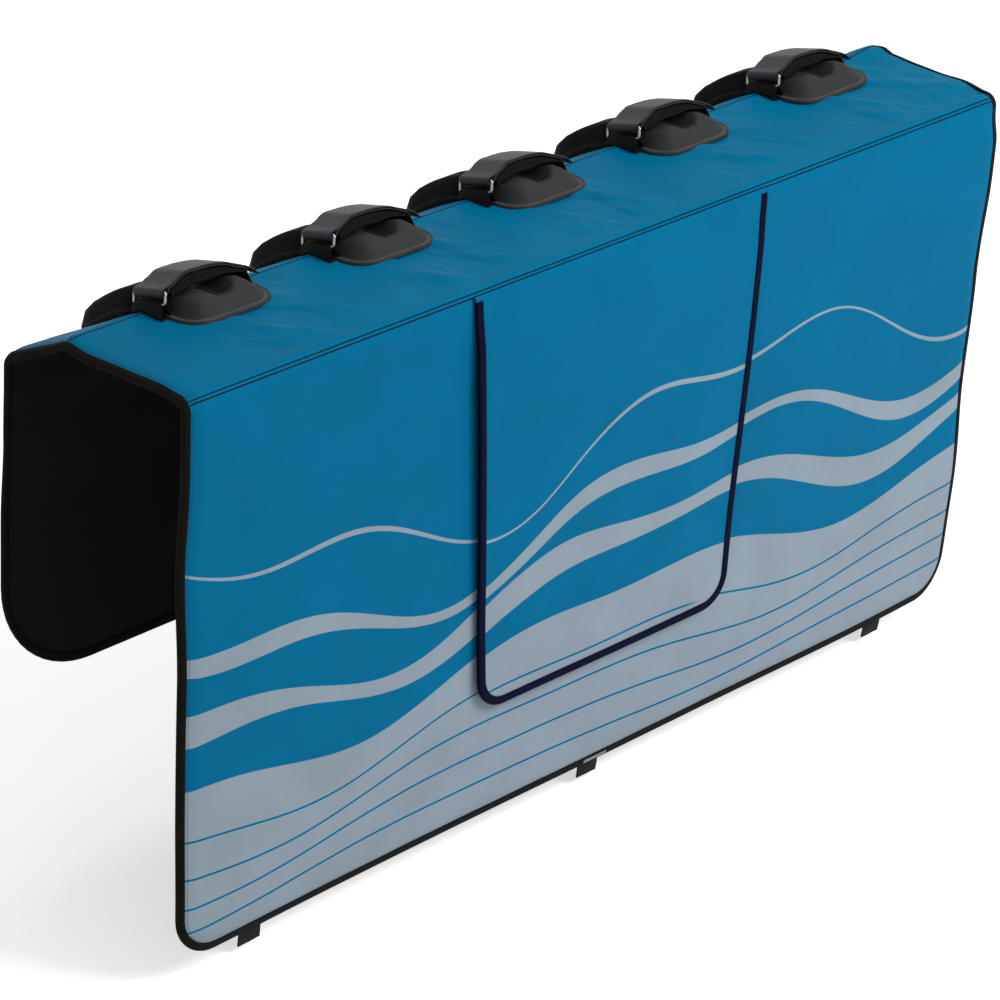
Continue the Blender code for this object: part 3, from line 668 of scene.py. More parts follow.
def darken(tree, socket, factor, stops):
    """Multiply the colour that feeds a socket by a ramp of grey (place, level) stops over a factor."""
    source = socket.links[0].from_socket
    mix = tree.nodes.new("ShaderNodeMix")
    mix.data_type = "RGBA"
    mix.blend_type = "MULTIPLY"
    mix.inputs["Factor"].default_value = 1.0
    tree.links.new(source, mix.inputs["A"])
    vary(tree, mix.inputs["B"], factor, stops)
    tree.links.new(mix.outputs["Result"], socket)


def distance_to_row(tree, place, row):
    """How far the cloth is from a row of the flat pattern, in metres."""
    parts = tree.nodes.new("ShaderNodeSeparateXYZ")
    tree.links.new(place, parts.inputs["Vector"])
    away = calculate(tree, "SUBTRACT", parts.outputs["Y"], row)
    return calculate(tree, "ABSOLUTE", away, 0.0)


def coated_fabric(name, colour, roughness, painted_shade_rows=()):
    """Smooth coated cloth: a fine weave under the coat, faint handling marks, and painted shade, its colour
    darkened along the sewn rows.
    """
    material, tree, shader = new_material(name, colour, roughness, 0.02)
    place = place_on_cloth(tree)
    clouds = noise(tree, place, 9.0, 4.0, 0.55)
    vary(tree, shader.inputs["Base Color"], clouds,
         ((0.30, tint(colour, 0.94)), (0.70, tint(colour, 1.06))))
    scuffs = noise(tree, place, 60.0, 3.0, 0.6)
    vary(tree, shader.inputs["Roughness"], scuffs, ((0.3, roughness - 0.05), (0.7, roughness + 0.06)))
    warp, weft = (wave(tree, place, COAT_WEAVE, direction) for direction in "XY")
    weave = calculate(tree, "MULTIPLY", warp, weft)
    bump(tree, shader, noise(tree, place, 14.0, 3.0, 0.5), 0.25, 0.004)
    bump(tree, shader, weave, 0.20, 0.00025)
    # Painted shade: the colour is darkened close to each stitch row, standing in for the shade in the seam's
    # groove
    for row in painted_shade_rows:
        near = calculate(tree, "DIVIDE", distance_to_row(tree, place, row), SEWN_SHADE)
        darken(tree, shader.inputs["Base Color"], near, ((0.25, 0.35), (1.0, 1.0)))
    return material


def brushed_lining():
    """Black brushed backing cloth."""
    colour = linear(13, 13, 14)
    material, tree, shader = new_material("brushed_lining", colour, 0.95, 0.15)
    place = place_on_cloth(tree)
    nap = noise(tree, place, NAP, 2.0, 0.7)
    vary(tree, shader.inputs["Base Color"], nap, ((0.3, tint(colour, 0.6)), (0.7, tint(colour, 1.5))))
    bump(tree, shader, nap, 0.6, 0.0004)
    bump(tree, shader, noise(tree, place, 25.0, 3.0, 0.5), 0.3, 0.003)
    shader.inputs["Sheen Weight"].default_value = 0.05
    return material


def ribbed_tape(name, colour, roughness):
    """Folded tape with ribs across it and a woven ground."""
    material, tree, shader = new_material(name, colour, roughness, 0.04)
    place = place_on_cloth(tree)
    ribs = wave(tree, place, 1.0 / RIB_PITCH / 3.2, "X", 0.4)
    threads = wave(tree, place, TAPE_THREADS, "Y")
    ground = calculate(tree, "MULTIPLY", ribs, calculate(tree, "ADD", 0.6, threads))
    worn = noise(tree, place, 35.0, 4.0, 0.6)
    vary(tree, shader.inputs["Base Color"], calculate(tree, "MULTIPLY", ground, worn),
         ((0.05, tint(colour, 0.65)), (0.75, tint(colour, 1.6))))
    bump(tree, shader, ground, 0.5, 0.0004)
    return material


def woven_webbing(name, colour, roughness, shine):
    """Webbing: a diagonal twill of fine yarns."""
    material, tree, shader = new_material(name, colour, roughness, shine)
    place = place_on_cloth(tree)
    yarns = wave(tree, place, YARNS, "Y")
    picks = wave(tree, place, PICKS, "DIAGONAL")
    cloth = calculate(tree, "ADD", yarns, calculate(tree, "MULTIPLY", picks, 0.7))
    vary(tree, shader.inputs["Base Color"], cloth, ((0.2, tint(colour, 0.75)), (1.0, tint(colour, 1.2))))
    bump(tree, shader, cloth, 0.35, 0.0003)
    bump(tree, shader, noise(tree, place, 90.0, 2.0, 0.5), 0.25, 0.001)
    return material


def fleece(name, colour):
    """Rough looped pile."""
    material, tree, shader = new_material(name, colour, 0.95, 0.06)
    place = place_in_object(tree)
    pile = noise(tree, place, PILE, 3.0, 0.7)
    lumps = noise(tree, place, 160.0, 2.0, 0.5)
    vary(tree, shader.inputs["Base Color"], pile, ((0.3, tint(colour, 0.45)), (0.75, tint(colour, 1.9))))
    bump(tree, shader, lumps, 0.6, 0.0012)
    bump(tree, shader, pile, 0.9, 0.0006)
    return material


def moulded_rubber(name, colour, shine):
    """Moulded cradle: matt, with a fine grain and a little dust in it."""
    material, tree, shader = new_material(name, colour, 0.62, shine)
    place = place_in_object(tree)
    grain = noise(tree, place, RUBBER_GRAIN, 2.0, 0.6)
    clouds = noise(tree, place, 30.0, 3.0, 0.55)
    vary(tree, shader.inputs["Base Color"], clouds, ((0.3, tint(colour, 0.85)), (0.7, tint(colour, 1.18))))
    vary(tree, shader.inputs["Roughness"], clouds, ((0.3, 0.56), (0.7, 0.70)))
    bump(tree, shader, grain, 0.25, 0.0002)
    return material


def polished_wire():
    """Plated steel wire with fine rubbing marks."""
    colour = (0.30, 0.305, 0.32)
    material, tree, shader = new_material("plated_wire", colour, 0.22, metallic=1.0)
    place = place_in_object(tree)
    marks = noise(tree, place, WIRE_MARKS, 4.0, 0.6)
    vary(tree, shader.inputs["Roughness"], marks, ((0.3, 0.16), (0.7, 0.34)))
    bump(tree, shader, marks, 0.08, 0.0003)
    return material


def thread(name, colour):
    material, tree, shader = new_material(name, colour, 0.6, 0.1)
    place = place_in_object(tree)
    plies = noise(tree, place, PLIES, 1.0, 0.5)
    vary(tree, shader.inputs["Base Color"], plies, ((0.3, tint(colour, 0.7)), (0.7, tint(colour, 1.3))))
    return material


def columns_across(width, step):
    """Shares from -1 to 1 across a panel, closer together at its two rolled edges."""
    half = width / 2
    near_edge = half - EDGE_ROLL * ROLLED_COLUMNS
    count = int(round((width - 2 * EDGE_ROLL) / step))
    middle = np.linspace(-(half - EDGE_ROLL), half - EDGE_ROLL, count + 1)[1:-1]
    return np.concatenate((-near_edge, middle, near_edge[::-1])) / half


def hem_rows(start, sign, radius):
    """Rows from a hem to the end of its round corners."""
    angles = np.linspace(0, math.pi / 2, HEM_STEPS)
    return start + sign * radius * (1 - np.cos(angles))


def both_hems():
    return tuple(hem_rows(0, 1, FRONT_HEM_RADIUS)) + tuple(hem_rows(V_END, -1, REAR_HEM_RADIUS))


def rows_from(guides, step):
    """Rows that follow the guide curves (guide, column), with more between them where they lie far apart."""
    rows = [guides[0]]
    owners = []
    for index in range(len(guides) - 1):
        spans = max(1, int(math.ceil(np.max(guides[index + 1] - guides[index]) / step)))
        for span in range(1, spans + 1):
            rows.append(guides[index] + (guides[index + 1] - guides[index]) * span / spans)
            owners.append(index)
    return np.array(rows), np.array(owners)


def swell_at(u, phase, height, second):
    """Height of a rolling wave of the print at u."""
    long_wave = np.sin(2 * math.pi * u / LONG_SWELL + phase)
    short_wave = np.sin(2 * math.pi * u / SHORT_SWELL + 2.1 * phase + 1.3)
    return height * (long_wave + second * short_wave)


def print_guides(u):
    """Edges of the printed bands as places along v, upwards from the hem, and whether each band is grey."""
    lines = []
    for drop, phase, height, second in reversed(HAIR_LINES):
        middle = v_at_drop(drop) + swell_at(u, phase, height, second)
        lines += [(middle - HAIR_WIDTH / 2, True), (middle + HAIR_WIDTH / 2, False)]
    drop, phase, height, second = GREY_FROM
    lines.append((v_at_drop(drop) + swell_at(u, phase, height, second), True))
    for drop, thickness, phase, height, second in reversed(WAVE_LINES):
        middle = v_at_drop(drop) + swell_at(u, phase, height, second)
        half = thickness / 2 * (1 + 0.35 * np.sin(2 * math.pi * u / THICKNESS_SWELL + 3 * phase))
        lines += [(middle - half, False), (middle + half, True)]
    return lines


def printed_rows(columns, width_at, low_rows, high_rows, passes=4):
    """Grid of a printed panel: rows on the edges of the bands, and the grey faces."""
    lines = print_guides(np.zeros(1))
    guides = [np.full(len(columns), v) for v in low_rows]
    for index in range(len(lines)):
        v = np.full(len(columns), 0.3)
        for _ in range(passes):
            u = columns * width_at(v)
            v = print_guides(u)[index][0]
        guides.append(np.clip(v, low_rows[-1] + GAP, high_rows[0] - GAP))
    guides += [np.full(len(columns), v) for v in high_rows]
    guides = np.maximum.accumulate(np.array(guides), axis=0)
    rows, owners = rows_from(guides, ROW_STEP)
    is_grey = [True] * (len(low_rows) - 1) + [grey for _, grey in lines] + [False] * len(high_rows)
    return rows, np.array(is_grey)[owners]


def over_window(u, v):
    """Which quads of a grid lie outside the window, by their middles."""
    mid_u = (u[:-1, :-1] + u[1:, :-1] + u[:-1, 1:] + u[1:, 1:]) / 4
    mid_v = (v[:-1, :-1] + v[1:, :-1] + v[:-1, 1:] + v[1:, 1:]) / 4
    side = WINDOW_WIDTH / 2 + WINDOW_GROWTH - np.abs(mid_u)
    low, high = v_at_drop(WINDOW_BOTTOM_DROP), v_at_drop(WINDOW_TOP_DROP)
    end = (high - low) / 2 + WINDOW_GROWTH - np.abs(mid_v - (low + high) / 2)
    from_centre = np.hypot(np.maximum(WINDOW_RADIUS - side, 0), np.maximum(WINDOW_RADIUS - end, 0))
    return (side <= 0) | (end <= 0) | (from_centre > WINDOW_RADIUS)


def cradle_centre(index):
    return CRADLE_OFFSET + (index - (CRADLE_COUNT - 1) / 2) * CRADLE_PITCH


def wrinkles(u, v):
    """Soft creases of the top panel, strongest round the middle cradles."""
    across = v - MARKS[2]
    pull = np.zeros(u.shape)
    for index, (turns_along, turns_across) in enumerate(CREASES):
        beside = u - cradle_centre(index)
        away = (beside - WRINKLE_SHIFT) / WRINKLE_REACH
        slant = beside * turns_along + across * turns_across
        fine = 0.35 * np.sin(2.3 * slant + across * 60.0) + 0.16 * np.sin(3.9 * slant - across * 90.0)
        pull += np.exp(-away ** 2) * (0.8 * np.sin(slant + index * 1.7) + fine)
    inner = ramp(across / 0.03) * ramp((MARKS[3] - v) / 0.02)
    return WRINKLE_HEIGHT * pull * inner


def dimples(u, v):
    """The shallow quilted look where the cover is not quite smooth over its foam."""
    along = np.sin(u * 47.0 + 3 * np.sin(v * 13.0))
    across = np.sin(v * 39.0 + 2 * np.sin(u * 11.0))
    return DIMPLE_HEIGHT * along * across


def hollow(u, v):
    """How far the padding is drawn down behind the front seam."""
    return curve_through(SEAM_HOLLOW, v - V_FRONT_SEAM) * (0.8 + 0.2 * np.sin(u * 17.0 + 1.0))


def cover_top(u, v, extra=0.0):
    """Height of the covers' outer face."""
    return foam_top(inset_at(u, v)) + GAP + SHELL + hollow(u, v) + extra


def make_front_cover(blue, grey):
    columns = columns_across(2 * HALF_LENGTH, COLUMN_STEP)
    low = hem_rows(0.0, 1, FRONT_HEM_RADIUS)
    low = low[low < PRINT_MARGIN]
    high = V_FRONT_SEAM - GAP - np.array(COVER_ROWS)
    v, is_grey = printed_rows(columns, half_width, low, high)
    u = columns * half_width(v)
    face_index = np.repeat(is_grey.astype(int), len(columns) - 1)
    tuck = -SEAM_TUCK * ramp(1 - (V_FRONT_SEAM - v) / SEAM_TUCK_REACH)
    top = cover_top(u, v, dimples(u, v) + tuck)
    piece = cloth_block("front_cover", u, v, top - SHELL, top, (blue, grey), over_window, face_index)
    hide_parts("front_shell")


def plain_grid(low, high, step, extra=()):
    """Grid over the pad between two rows."""
    columns = columns_across(2 * HALF_LENGTH, COLUMN_STEP)
    guides = sorted(set([low, high]) | set(v for v in extra if low < v < high))
    rows, _ = rows_from(np.repeat(np.array(guides)[:, None], len(columns), axis=1), step)
    return columns * half_width(rows), rows


def make_top_cover(material):
    rows = (*(V_FRONT_SEAM + SEAM_ROWS * FRONT_BEND), *(V_FRONT_SEAM + WIDE_SEAM_ROWS),
            *(V_REAR_SEAM - GAP - SEAM_ROWS * REAR_BEND))
    u, v = plain_grid(V_FRONT_SEAM, V_REAR_SEAM - GAP, ROW_STEP, rows)
    ridges = (curve_through(SEAM_RIDGE, (v - V_FRONT_SEAM) / FRONT_BEND)
              + curve_through(SEAM_RIDGE, (V_REAR_SEAM - GAP - v) / REAR_BEND))
    clear_of_tape = ramp((inset_at(u, v) - TAPE_WIDTH) / 0.010)
    top = cover_top(u, v, clear_of_tape * (ridges + wrinkles(u, v)) + dimples(u, v))
    piece = cloth_block("top_cover", u, v, cover_top(u, v) - SHELL - GAP / 2, top, (material,))
    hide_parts("top_shell")


def slope_crown(u, v):
    share = np.clip((v - V_REAR_SEAM) / (MARKS[5] - V_REAR_SEAM), 0.0, 1.0)
    return SLOPE_CROWN * np.sin(math.pi * share) ** 0.8 * ramp(inset_at(u, v) / 0.05)


def make_rear_cover(material):
    rows = (*hem_rows(V_END, -1, REAR_HEM_RADIUS), *np.linspace(MARKS[4], MARKS[6], 40))
    u, v = plain_grid(V_REAR_SEAM, V_END, REAR_STEP, rows)
    top = cover_top(u, v, slope_crown(u, v) + dimples(u, v))
    piece = cloth_block("rear_cover", u, v, top - SHELL, top, (material,))
    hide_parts("rear_shell")


def make_paddings(material):
    """The foam pads inside, on the covers' own lines."""
    pads = (("front_padding", 0.0, MARKS[1] - GAP, "front_foam", over_window),
            ("top_padding", MARKS[1], MARKS[4] - GAP, "top_foam", None),
            ("rear_padding", MARKS[4], V_END, "rear_foam", None))
    for name, low, high, node, keep in pads:
        u, v = plain_grid(low, high, PADDING_STEP, tuple(MARKS) + both_hems())
        inset = inset_at(u, v)
        top = foam_top(inset) + np.minimum(dimples(u, v), 0.0) + hollow(u, v) - 0.0006
        piece = cloth_block(name, u, v, FOAM_BASE + edge_rise(inset), top, (material,), keep)
        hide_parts(node)


def make_lining(material):
    bends = (*np.linspace(MARKS[1], MARKS[2], 6), *np.linspace(MARKS[3], MARKS[6], 24))
    u, v = plain_grid(0.0, V_END, LINING_STEP, both_hems() + bends)
    under = edge_rise(inset_at(u, v)) + 0.5 * dimples(u, v)
    piece = cloth_block("inner_lining", u, v, under, under + LINING, (material,), over_window)
    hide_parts("lining")


def tape_ring(width, over, under):
    """Section of a folded tape as (distance in, height): round outside, and open towards the panel."""
    middle = (over + under) / 2
    reach = (over - under) / 2 + TAPE
    round_from = 0.0009
    # Places in from the edge, and how full the tape is there
    wings = ((width, 0.55), (width - 0.0007, 1.0), (width * 0.6, 1.05), (0.0025, 1.0))
    outer = [(inset, over + TAPE * full) for inset, full in wings]
    for step in range(9):
        angle = math.pi / 2 - math.pi * step / 8
        inset = round_from - (TAPE_STANDOFF + round_from) * math.cos(angle)
        outer.append((inset, middle + reach * math.sin(angle)))
    outer += [(inset, under - TAPE * full) for inset, full in reversed(wings)]
    inner = [(width, under), (0.003, under), (-0.0001, under), (-0.0002, middle), (-0.0001, over),
             (0.003, over), (width, over)]
    return outer + inner


def tape_along(name, path, width_at, faces_at, material, node, round_trip):
    """A folded tape along (u, v, outward u, outward v), between the heights that faces_at gives.

    width_at gives its width from the tape's outward direction.
    """
    path = np.asarray(path, float)
    steps = np.hypot(*np.diff(path[:, :2], axis=0).T)
    run = np.concatenate(([0.0], np.cumsum(steps)))
    rings, flat = [], []
    for (u, v, out_u, out_v), along in zip(path, run):
        over, under = faces_at(u, v)
        ring = np.array(tape_ring(width_at(out_u, out_v), over, under))
        at_u, at_v = u - ring[:, 0] * out_u, v - ring[:, 0] * out_v
        lift_over = faces_at(at_u, at_v)[0] - over
        lift_under = faces_at(at_u, at_v)[1] - under
        is_over = ring[:, 1] > (over + under) / 2
        height = ring[:, 1] + np.where(is_over, lift_over, lift_under) * np.clip(ring[:, 0] / 0.002, 0, 1)
        rings.append(lay(at_u, at_v, height))
        around = np.cumsum(np.full(len(ring), 0.001))
        flat.append(np.stack((np.full(len(ring), along), around, np.zeros(len(ring))), -1))
    piece = closed_rings(name, np.array(rings), np.array(flat), (material,), round_trip)
    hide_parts(node)
    return piece


def corner_path(centre_u, centre_v, radius, start, steps=CORNER_STEPS):
    path = []
    for angle in start + np.linspace(0, math.pi / 2, steps + 1):
        out_u, out_v = math.cos(angle), math.sin(angle)
        path.append((centre_u + radius * out_u, centre_v + radius * out_v, out_u, out_v))
    return path


def line_path(u0, v0, u1, v1, out):
    count = max(1, int(round(math.hypot(u1 - u0, v1 - v0) / PATH_STEP)))
    shares = np.linspace(0, 1, count + 1)[1:-1]
    return [(u0 + (u1 - u0) * s, v0 + (v1 - v0) * s, *out) for s in shares]


def four_corners(low_u, high_u, low_v, high_v, radius, steps=CORNER_STEPS):
    """The round corners of a rectangle, turning left from the one at high u and high v."""
    near_u, far_u, near_v, far_v = low_u + radius, high_u - radius, low_v + radius, high_v - radius
    centres = ((far_u, far_v), (near_u, far_v), (near_u, near_v), (far_u, near_v))
    return [corner_path(u, v, radius, turn * math.pi / 2, steps) for turn, (u, v) in enumerate(centres)]


def pad_outline():
    """The bound edge of the pad, once round."""
    front_u, rear_u = HALF_LENGTH - FRONT_HEM_RADIUS, HALF_LENGTH - REAR_HEM_RADIUS
    rear_v = V_END - REAR_HEM_RADIUS
    path = corner_path(-front_u, FRONT_HEM_RADIUS, FRONT_HEM_RADIUS, math.pi)
    path += line_path(-front_u, 0, front_u, 0, (0, -1))
    path += corner_path(front_u, FRONT_HEM_RADIUS, FRONT_HEM_RADIUS, math.pi * 1.5)
    path += side_path(HALF_LENGTH, FRONT_HEM_RADIUS, rear_v, (1, 0))
    path += corner_path(rear_u, rear_v, REAR_HEM_RADIUS, 0)
    path += line_path(rear_u, V_END, -rear_u, V_END, (0, 1))
    path += corner_path(-rear_u, rear_v, REAR_HEM_RADIUS, math.pi / 2)
    path += side_path(-HALF_LENGTH, rear_v, FRONT_HEM_RADIUS, (-1, 0))
    return path


def side_path(u, v0, v1, out):
    """Along an end of the pad, closer together over the folds."""
    low, high = min(v0, v1), max(v0, v1)
    rows = set(np.linspace(low, high, int((high - low) / PATH_STEP)))
    rows |= set(np.linspace(MARKS[1], MARKS[2], 9)) | set(np.linspace(MARKS[3], MARKS[4], 5))
    rows |= set(np.linspace(MARKS[5], MARKS[6], 9))
    rows = [v for v in sorted(rows) if low < v < high]
    if v1 < v0:
        rows.reverse()
    return [(u, v, *out) for v in rows]


def pad_tape_width(out_u, out_v):
    """The tape covers most at the hems and at the far end."""
    end = FAR_TAPE_WIDTH if out_u > 0 else END_TAPE_WIDTH
    return end + (HEM_TAPE_WIDTH - end) * out_v ** 2


def pad_faces(u, v):
    """Outer and inner face of the pad at a point, for the tape round it."""
    inset = inset_at(np.asarray(u), np.asarray(v))
    return foam_top(inset) + GAP + SHELL + GAP, edge_rise(inset) - GAP


def window_path():
    low, high = v_at_drop(WINDOW_BOTTOM_DROP), v_at_drop(WINDOW_TOP_DROP)
    corners = four_corners(-WINDOW_WIDTH / 2, WINDOW_WIDTH / 2, low, high, WINDOW_RADIUS)
    path = []
    for corner, after in zip(corners, corners[1:] + corners[:1]):
        u, v, out_u, out_v = corner[-1]
        path += corner + line_path(u, v, after[0][0], after[0][1], (out_u, out_v))
    return [(u, v, -out_u, -out_v) for u, v, out_u, out_v in path]


def window_faces(u, _):
    shape = np.shape(u)
    return np.full(shape, THICKNESS + GAP), np.full(shape, -GAP)


def flap_half_width(v):
    share = (v - FLAP_LOW) / (FLAP_TOP - FLAP_LOW)
    width = FLAP_LOW_WIDTH + (FLAP_WIDTH - FLAP_LOW_WIDTH) * share
    into_corner = np.maximum(0.0, FLAP_LOW + FLAP_RADIUS - v)
    reach = np.sqrt(np.maximum(0.0, FLAP_RADIUS ** 2 - into_corner ** 2))
    return width / 2 - TAPE_STANDOFF - FLAP_RADIUS + reach


def flap_under(u, v):
    """Height of the flap's inner face: sewn flat at the top, hanging with a soft belly and folds below."""
    eased = ramp((MARKS[1] - v) / FLAP_EASE)
    down = np.clip((FLAP_TOP - v) / (FLAP_TOP - FLAP_LOW), 0.0, 1.0)
    across = u / (FLAP_WIDTH / 2)
    belly = FLAP_BULGE * np.sin(math.pi * down ** 0.8) * (1 - 0.55 * across ** 2)
    flare = FLAP_FLARE * ramp((down - 0.75) / 0.25)
    folds = FLAP_FOLDS * np.sin(u * 46.0 + 2.0 * down) * np.sin(math.pi * down) * (0.35 + 0.65 * across ** 2)
    return THICKNESS + FLAP_SEWN + FLAP_PROUD * eased + eased * (belly + flare + folds)


def flap_faces(u, v):
    inner = flap_under(np.asarray(u), np.asarray(v))
    return inner + FLAP_THICKNESS + GAP, inner - GAP


def flap_path():
    """The flap's bound edge: down its right side, along the bottom and up its left side."""
    centre = FLAP_LOW + FLAP_RADIUS
    right = []
    for v in np.linspace(FLAP_TOP - 0.002, centre, 90)[:-1]:
        right.append((float(flap_half_width(v)), v, 1.0, 0.0))
    for angle in np.linspace(0, math.pi / 2, HEM_STEPS):
        v = centre - FLAP_RADIUS * math.sin(angle)
        right.append((float(flap_half_width(v)), v, math.cos(angle), -math.sin(angle)))
    reach = right[-1][0]
    path = right + line_path(reach, FLAP_LOW, -reach, FLAP_LOW, (0, -1))
    return path + [(-u, v, -out_u, out_v) for u, v, out_u, out_v in reversed(right)]


def make_flap(blue, grey, tape):
    columns = np.linspace(-1, 1, int(round(FLAP_WIDTH / COLUMN_STEP)) + 1)
    low = hem_rows(FLAP_LOW, 1, FLAP_RADIUS)
    low = low[low < FLAP_LOW + FLAP_RADIUS / 2]
    high = FLAP_TOP - np.array(FLAP_ROWS)
    v, is_grey = printed_rows(columns, flap_half_width, low, high)
    u = columns * flap_half_width(v)
    face_index = np.repeat(is_grey.astype(int), len(columns) - 1)
    under = flap_under(u, v)
    flap = cloth_block("window_flap", u, v, under, under + FLAP_THICKNESS, (blue, grey), None, face_index)
    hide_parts("access_flap")
    binding = tape_along("flap_tape", flap_path(), lambda out_u, out_v: FLAP_TAPE_WIDTH, flap_faces, tape,
                         "flap_binding", False)


def make_closures(material):
    low = v_at_drop(CLOSURE_DROP) - CLOSURE_HEIGHT / 2
    u, v = np.meshgrid(np.linspace(-CLOSURE_WIDTH / 2, CLOSURE_WIDTH / 2, 60),
                       np.linspace(low, low + CLOSURE_HEIGHT, 6))
    panel = cover_top(u, v, dimples(u, v)) + GAP / 2
    flap = flap_under(u, v) - GAP / 2 - CLOSURE_THICKNESS
    for name, under, node in (("closure_loop_strip", panel, "panel_loop_strip"),
                              ("closure_hook_strip", flap, "flap_hook_strip")):
        piece = cloth_block(name, u, v, under, under + CLOSURE_THICKNESS, (material,))
        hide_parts(node)


def make_tabs(material):
    """Webbing tabs behind the front hem, each with a slight curl of its own."""
    for number, (centre, end_curl) in enumerate(zip(TAB_PLACES, TAB_CURLS), start=1):
        across = np.linspace(-TAB_WIDTH / 2, TAB_WIDTH / 2, 13)
        down = np.linspace(-TAPE_STANDOFF - TAB_HANG, TAB_SEWN, 24)
        u, v = np.meshgrid(across, down)
        hang = np.clip(-v / TAB_HANG, 0, 1)
        curl = end_curl * hang ** 2 + 0.0006 * np.sin(u * 150 + number) * hang
        over = edge_rise(inset_at(u + centre, np.maximum(v, 0))) - TAPE_STANDOFF - GAP + curl
        v = v + 0.0008 * np.sin(u * 90 + number) * hang
        piece = cloth_block(f"hem_webbing_{number}", u + centre, v, over - TAB_THICKNESS, over, (material,))
        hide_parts(f"hem_tab_{number}")


def surface_height(u, v):
    """Height of what the cradles stand on."""
    return cover_top(u, v, slope_crown(u, v)) + GAP


def smooth_line(points, x):
    """Line through points that doesn't overshoot, for the sleeve's faces."""
    xs, ys = np.array(points).T
    steps = np.diff(ys) / np.diff(xs)
    before, after = steps[:-1], steps[1:]
    between = np.where(before * after > 0, 2 * before * after / (before + after + 1e-12), 0.0)
    slopes = np.concatenate(([steps[0]], between, [steps[-1]]))
    x = np.clip(np.asarray(x, float), xs[0], xs[-1])
    index = np.clip(np.searchsorted(xs, x, side="right") - 1, 0, len(xs) - 2)
    span = xs[index + 1] - xs[index]
    t = (x - xs[index]) / span
    return ((2 * t ** 3 - 3 * t ** 2 + 1) * ys[index] + (t ** 3 - 2 * t ** 2 + t) * span * slopes[index]
            + (3 * t ** 2 - 2 * t ** 3) * ys[index + 1] + (t ** 3 - t ** 2) * span * slopes[index + 1])


SLEEVE_BOTTOM = [(x, bottom) for x, bottom, top in SLEEVE_PROFILE]
SLEEVE_TOP = [(x, top) for x, bottom, top in SLEEVE_PROFILE]


def v_from_seam(distance):
    if distance < 0:
        return min(MARKS[3] + SEAM_SETBACK + distance, V_REAR_SEAM)
    return max(MARKS[4] - SEAM_SETBACK + distance, V_REAR_SEAM)


def seam_distance(v):
    """Distance of v from the rear seam, measured on the outer face."""
    on_arc = (v - V_REAR_SEAM) / (MARKS[4] - V_REAR_SEAM) * SEAM_SETBACK
    from_arc = np.where(v > MARKS[4], v - MARKS[4] + SEAM_SETBACK, on_arc)
    return np.where(v < MARKS[3], v - MARKS[3] - SEAM_SETBACK, from_arc)


BASE_HALF = BASE_WIDTH / 2
BASE_FRONT = v_from_seam(-BASE_AHEAD_OF_SEAM)
BASE_REAR = v_from_seam(BASE_BEHIND_SEAM)


def base_side(v):
    """Half of a base's width away from its corners: the wing behind the seam is wider."""
    return BASE_HALF + WING_FLARE * ramp((v - V_REAR_SEAM + 0.004) / 0.030)


def base_radius(v):
    return np.where(v < V_REAR_SEAM, BASE_CORNER_RADIUS, WING_CORNER_RADIUS)


def base_half_width(v):
    radius = base_radius(v)
    into_corner = np.maximum(0.0, radius - np.minimum(v - BASE_FRONT, BASE_REAR - v))
    return base_side(v) - radius + np.sqrt(np.maximum(0.0, radius ** 2 - into_corner ** 2))


def base_inset(x, v):
    return rounded_inset(base_side(v) - np.abs(x), np.minimum(v - BASE_FRONT, BASE_REAR - v), base_radius(v))


def soft_lower(first, second, blend):
    """The lower of two heights, with the edge where they meet a little round."""
    lower = np.minimum(first, second)
    return lower - blend * np.log(np.exp((lower - first) / blend) + np.exp((lower - second) / blend))


def base_height(x, v):
    """Thickness of a cradle base: rolled lip with its sewn channel, dome, groove and strap seat."""
    inset = base_inset(x, v)
    lean = ramp((x + BASE_HALF / 2) / BASE_HALF)
    run = BASE_STEEP_RAMP + (BASE_LONG_RAMP - BASE_STEEP_RAMP) * lean
    share = np.clip((inset - BASE_LIP_WIDTH) / run, 0.0, 1.0)
    rise = 1 - (1 - share) ** 1.5
    wall = np.clip((np.abs(x) - GROOVE_FLOOR) / (GROOVE_HALF_WIDTH - GROOVE_FLOOR), 0.0, 1.0)
    groove = 1 - 0.65 * wall - 0.35 * ramp(wall)
    lip = BASE_LIP * (0.45 + 0.55 * np.sqrt(1 - (1 - np.clip(inset / 0.0022, 0, 1)) ** 2))
    channel = CHANNEL_DEPTH * sum(np.exp(-((inset - row) / CHANNEL_WIDTH) ** 2) for row in CHANNEL_INSETS)
    at_front = 1 - ramp((v - BASE_FRONT - NOTCH_REACH) / NOTCH_REACH)
    floor = BASE_DOME - GROOVE_DEPTH * groove * (1 - NOTCH_SHARE * at_front)
    wing = WING_RISE * ramp((v - V_REAR_SEAM) / 0.05) * ramp(inset / 0.004)
    height = lip - channel + soft_lower(rise * BASE_DOME, floor, 0.0010) + wing
    from_seam = seam_distance(v)
    under_sleeve = smooth_line(SLEEVE_BOTTOM, x) - 3 * GAP
    seat = under_sleeve * math.cos(HALF_SLOPE) + np.abs(from_seam) * math.sin(HALF_SLOPE)
    seated = np.maximum(np.minimum(height, seat - 0.0006), lip - channel)
    in_seat = 1 - ramp((np.abs(from_seam - STRAP_CENTRE) - SEAT_HALF_WIDTH) / SEAT_FLANK)
    return height + (seated - height) * in_seat


def graded(low, high, step, edge, finer):
    """Places from low to high, closer together near both ends."""
    ends = np.arange(0, edge, step / finer)
    middle = np.linspace(low + edge, high - edge, max(2, int((high - low - 2 * edge) / step)))
    return np.concatenate((low + ends, middle, (high - ends)[::-1]))


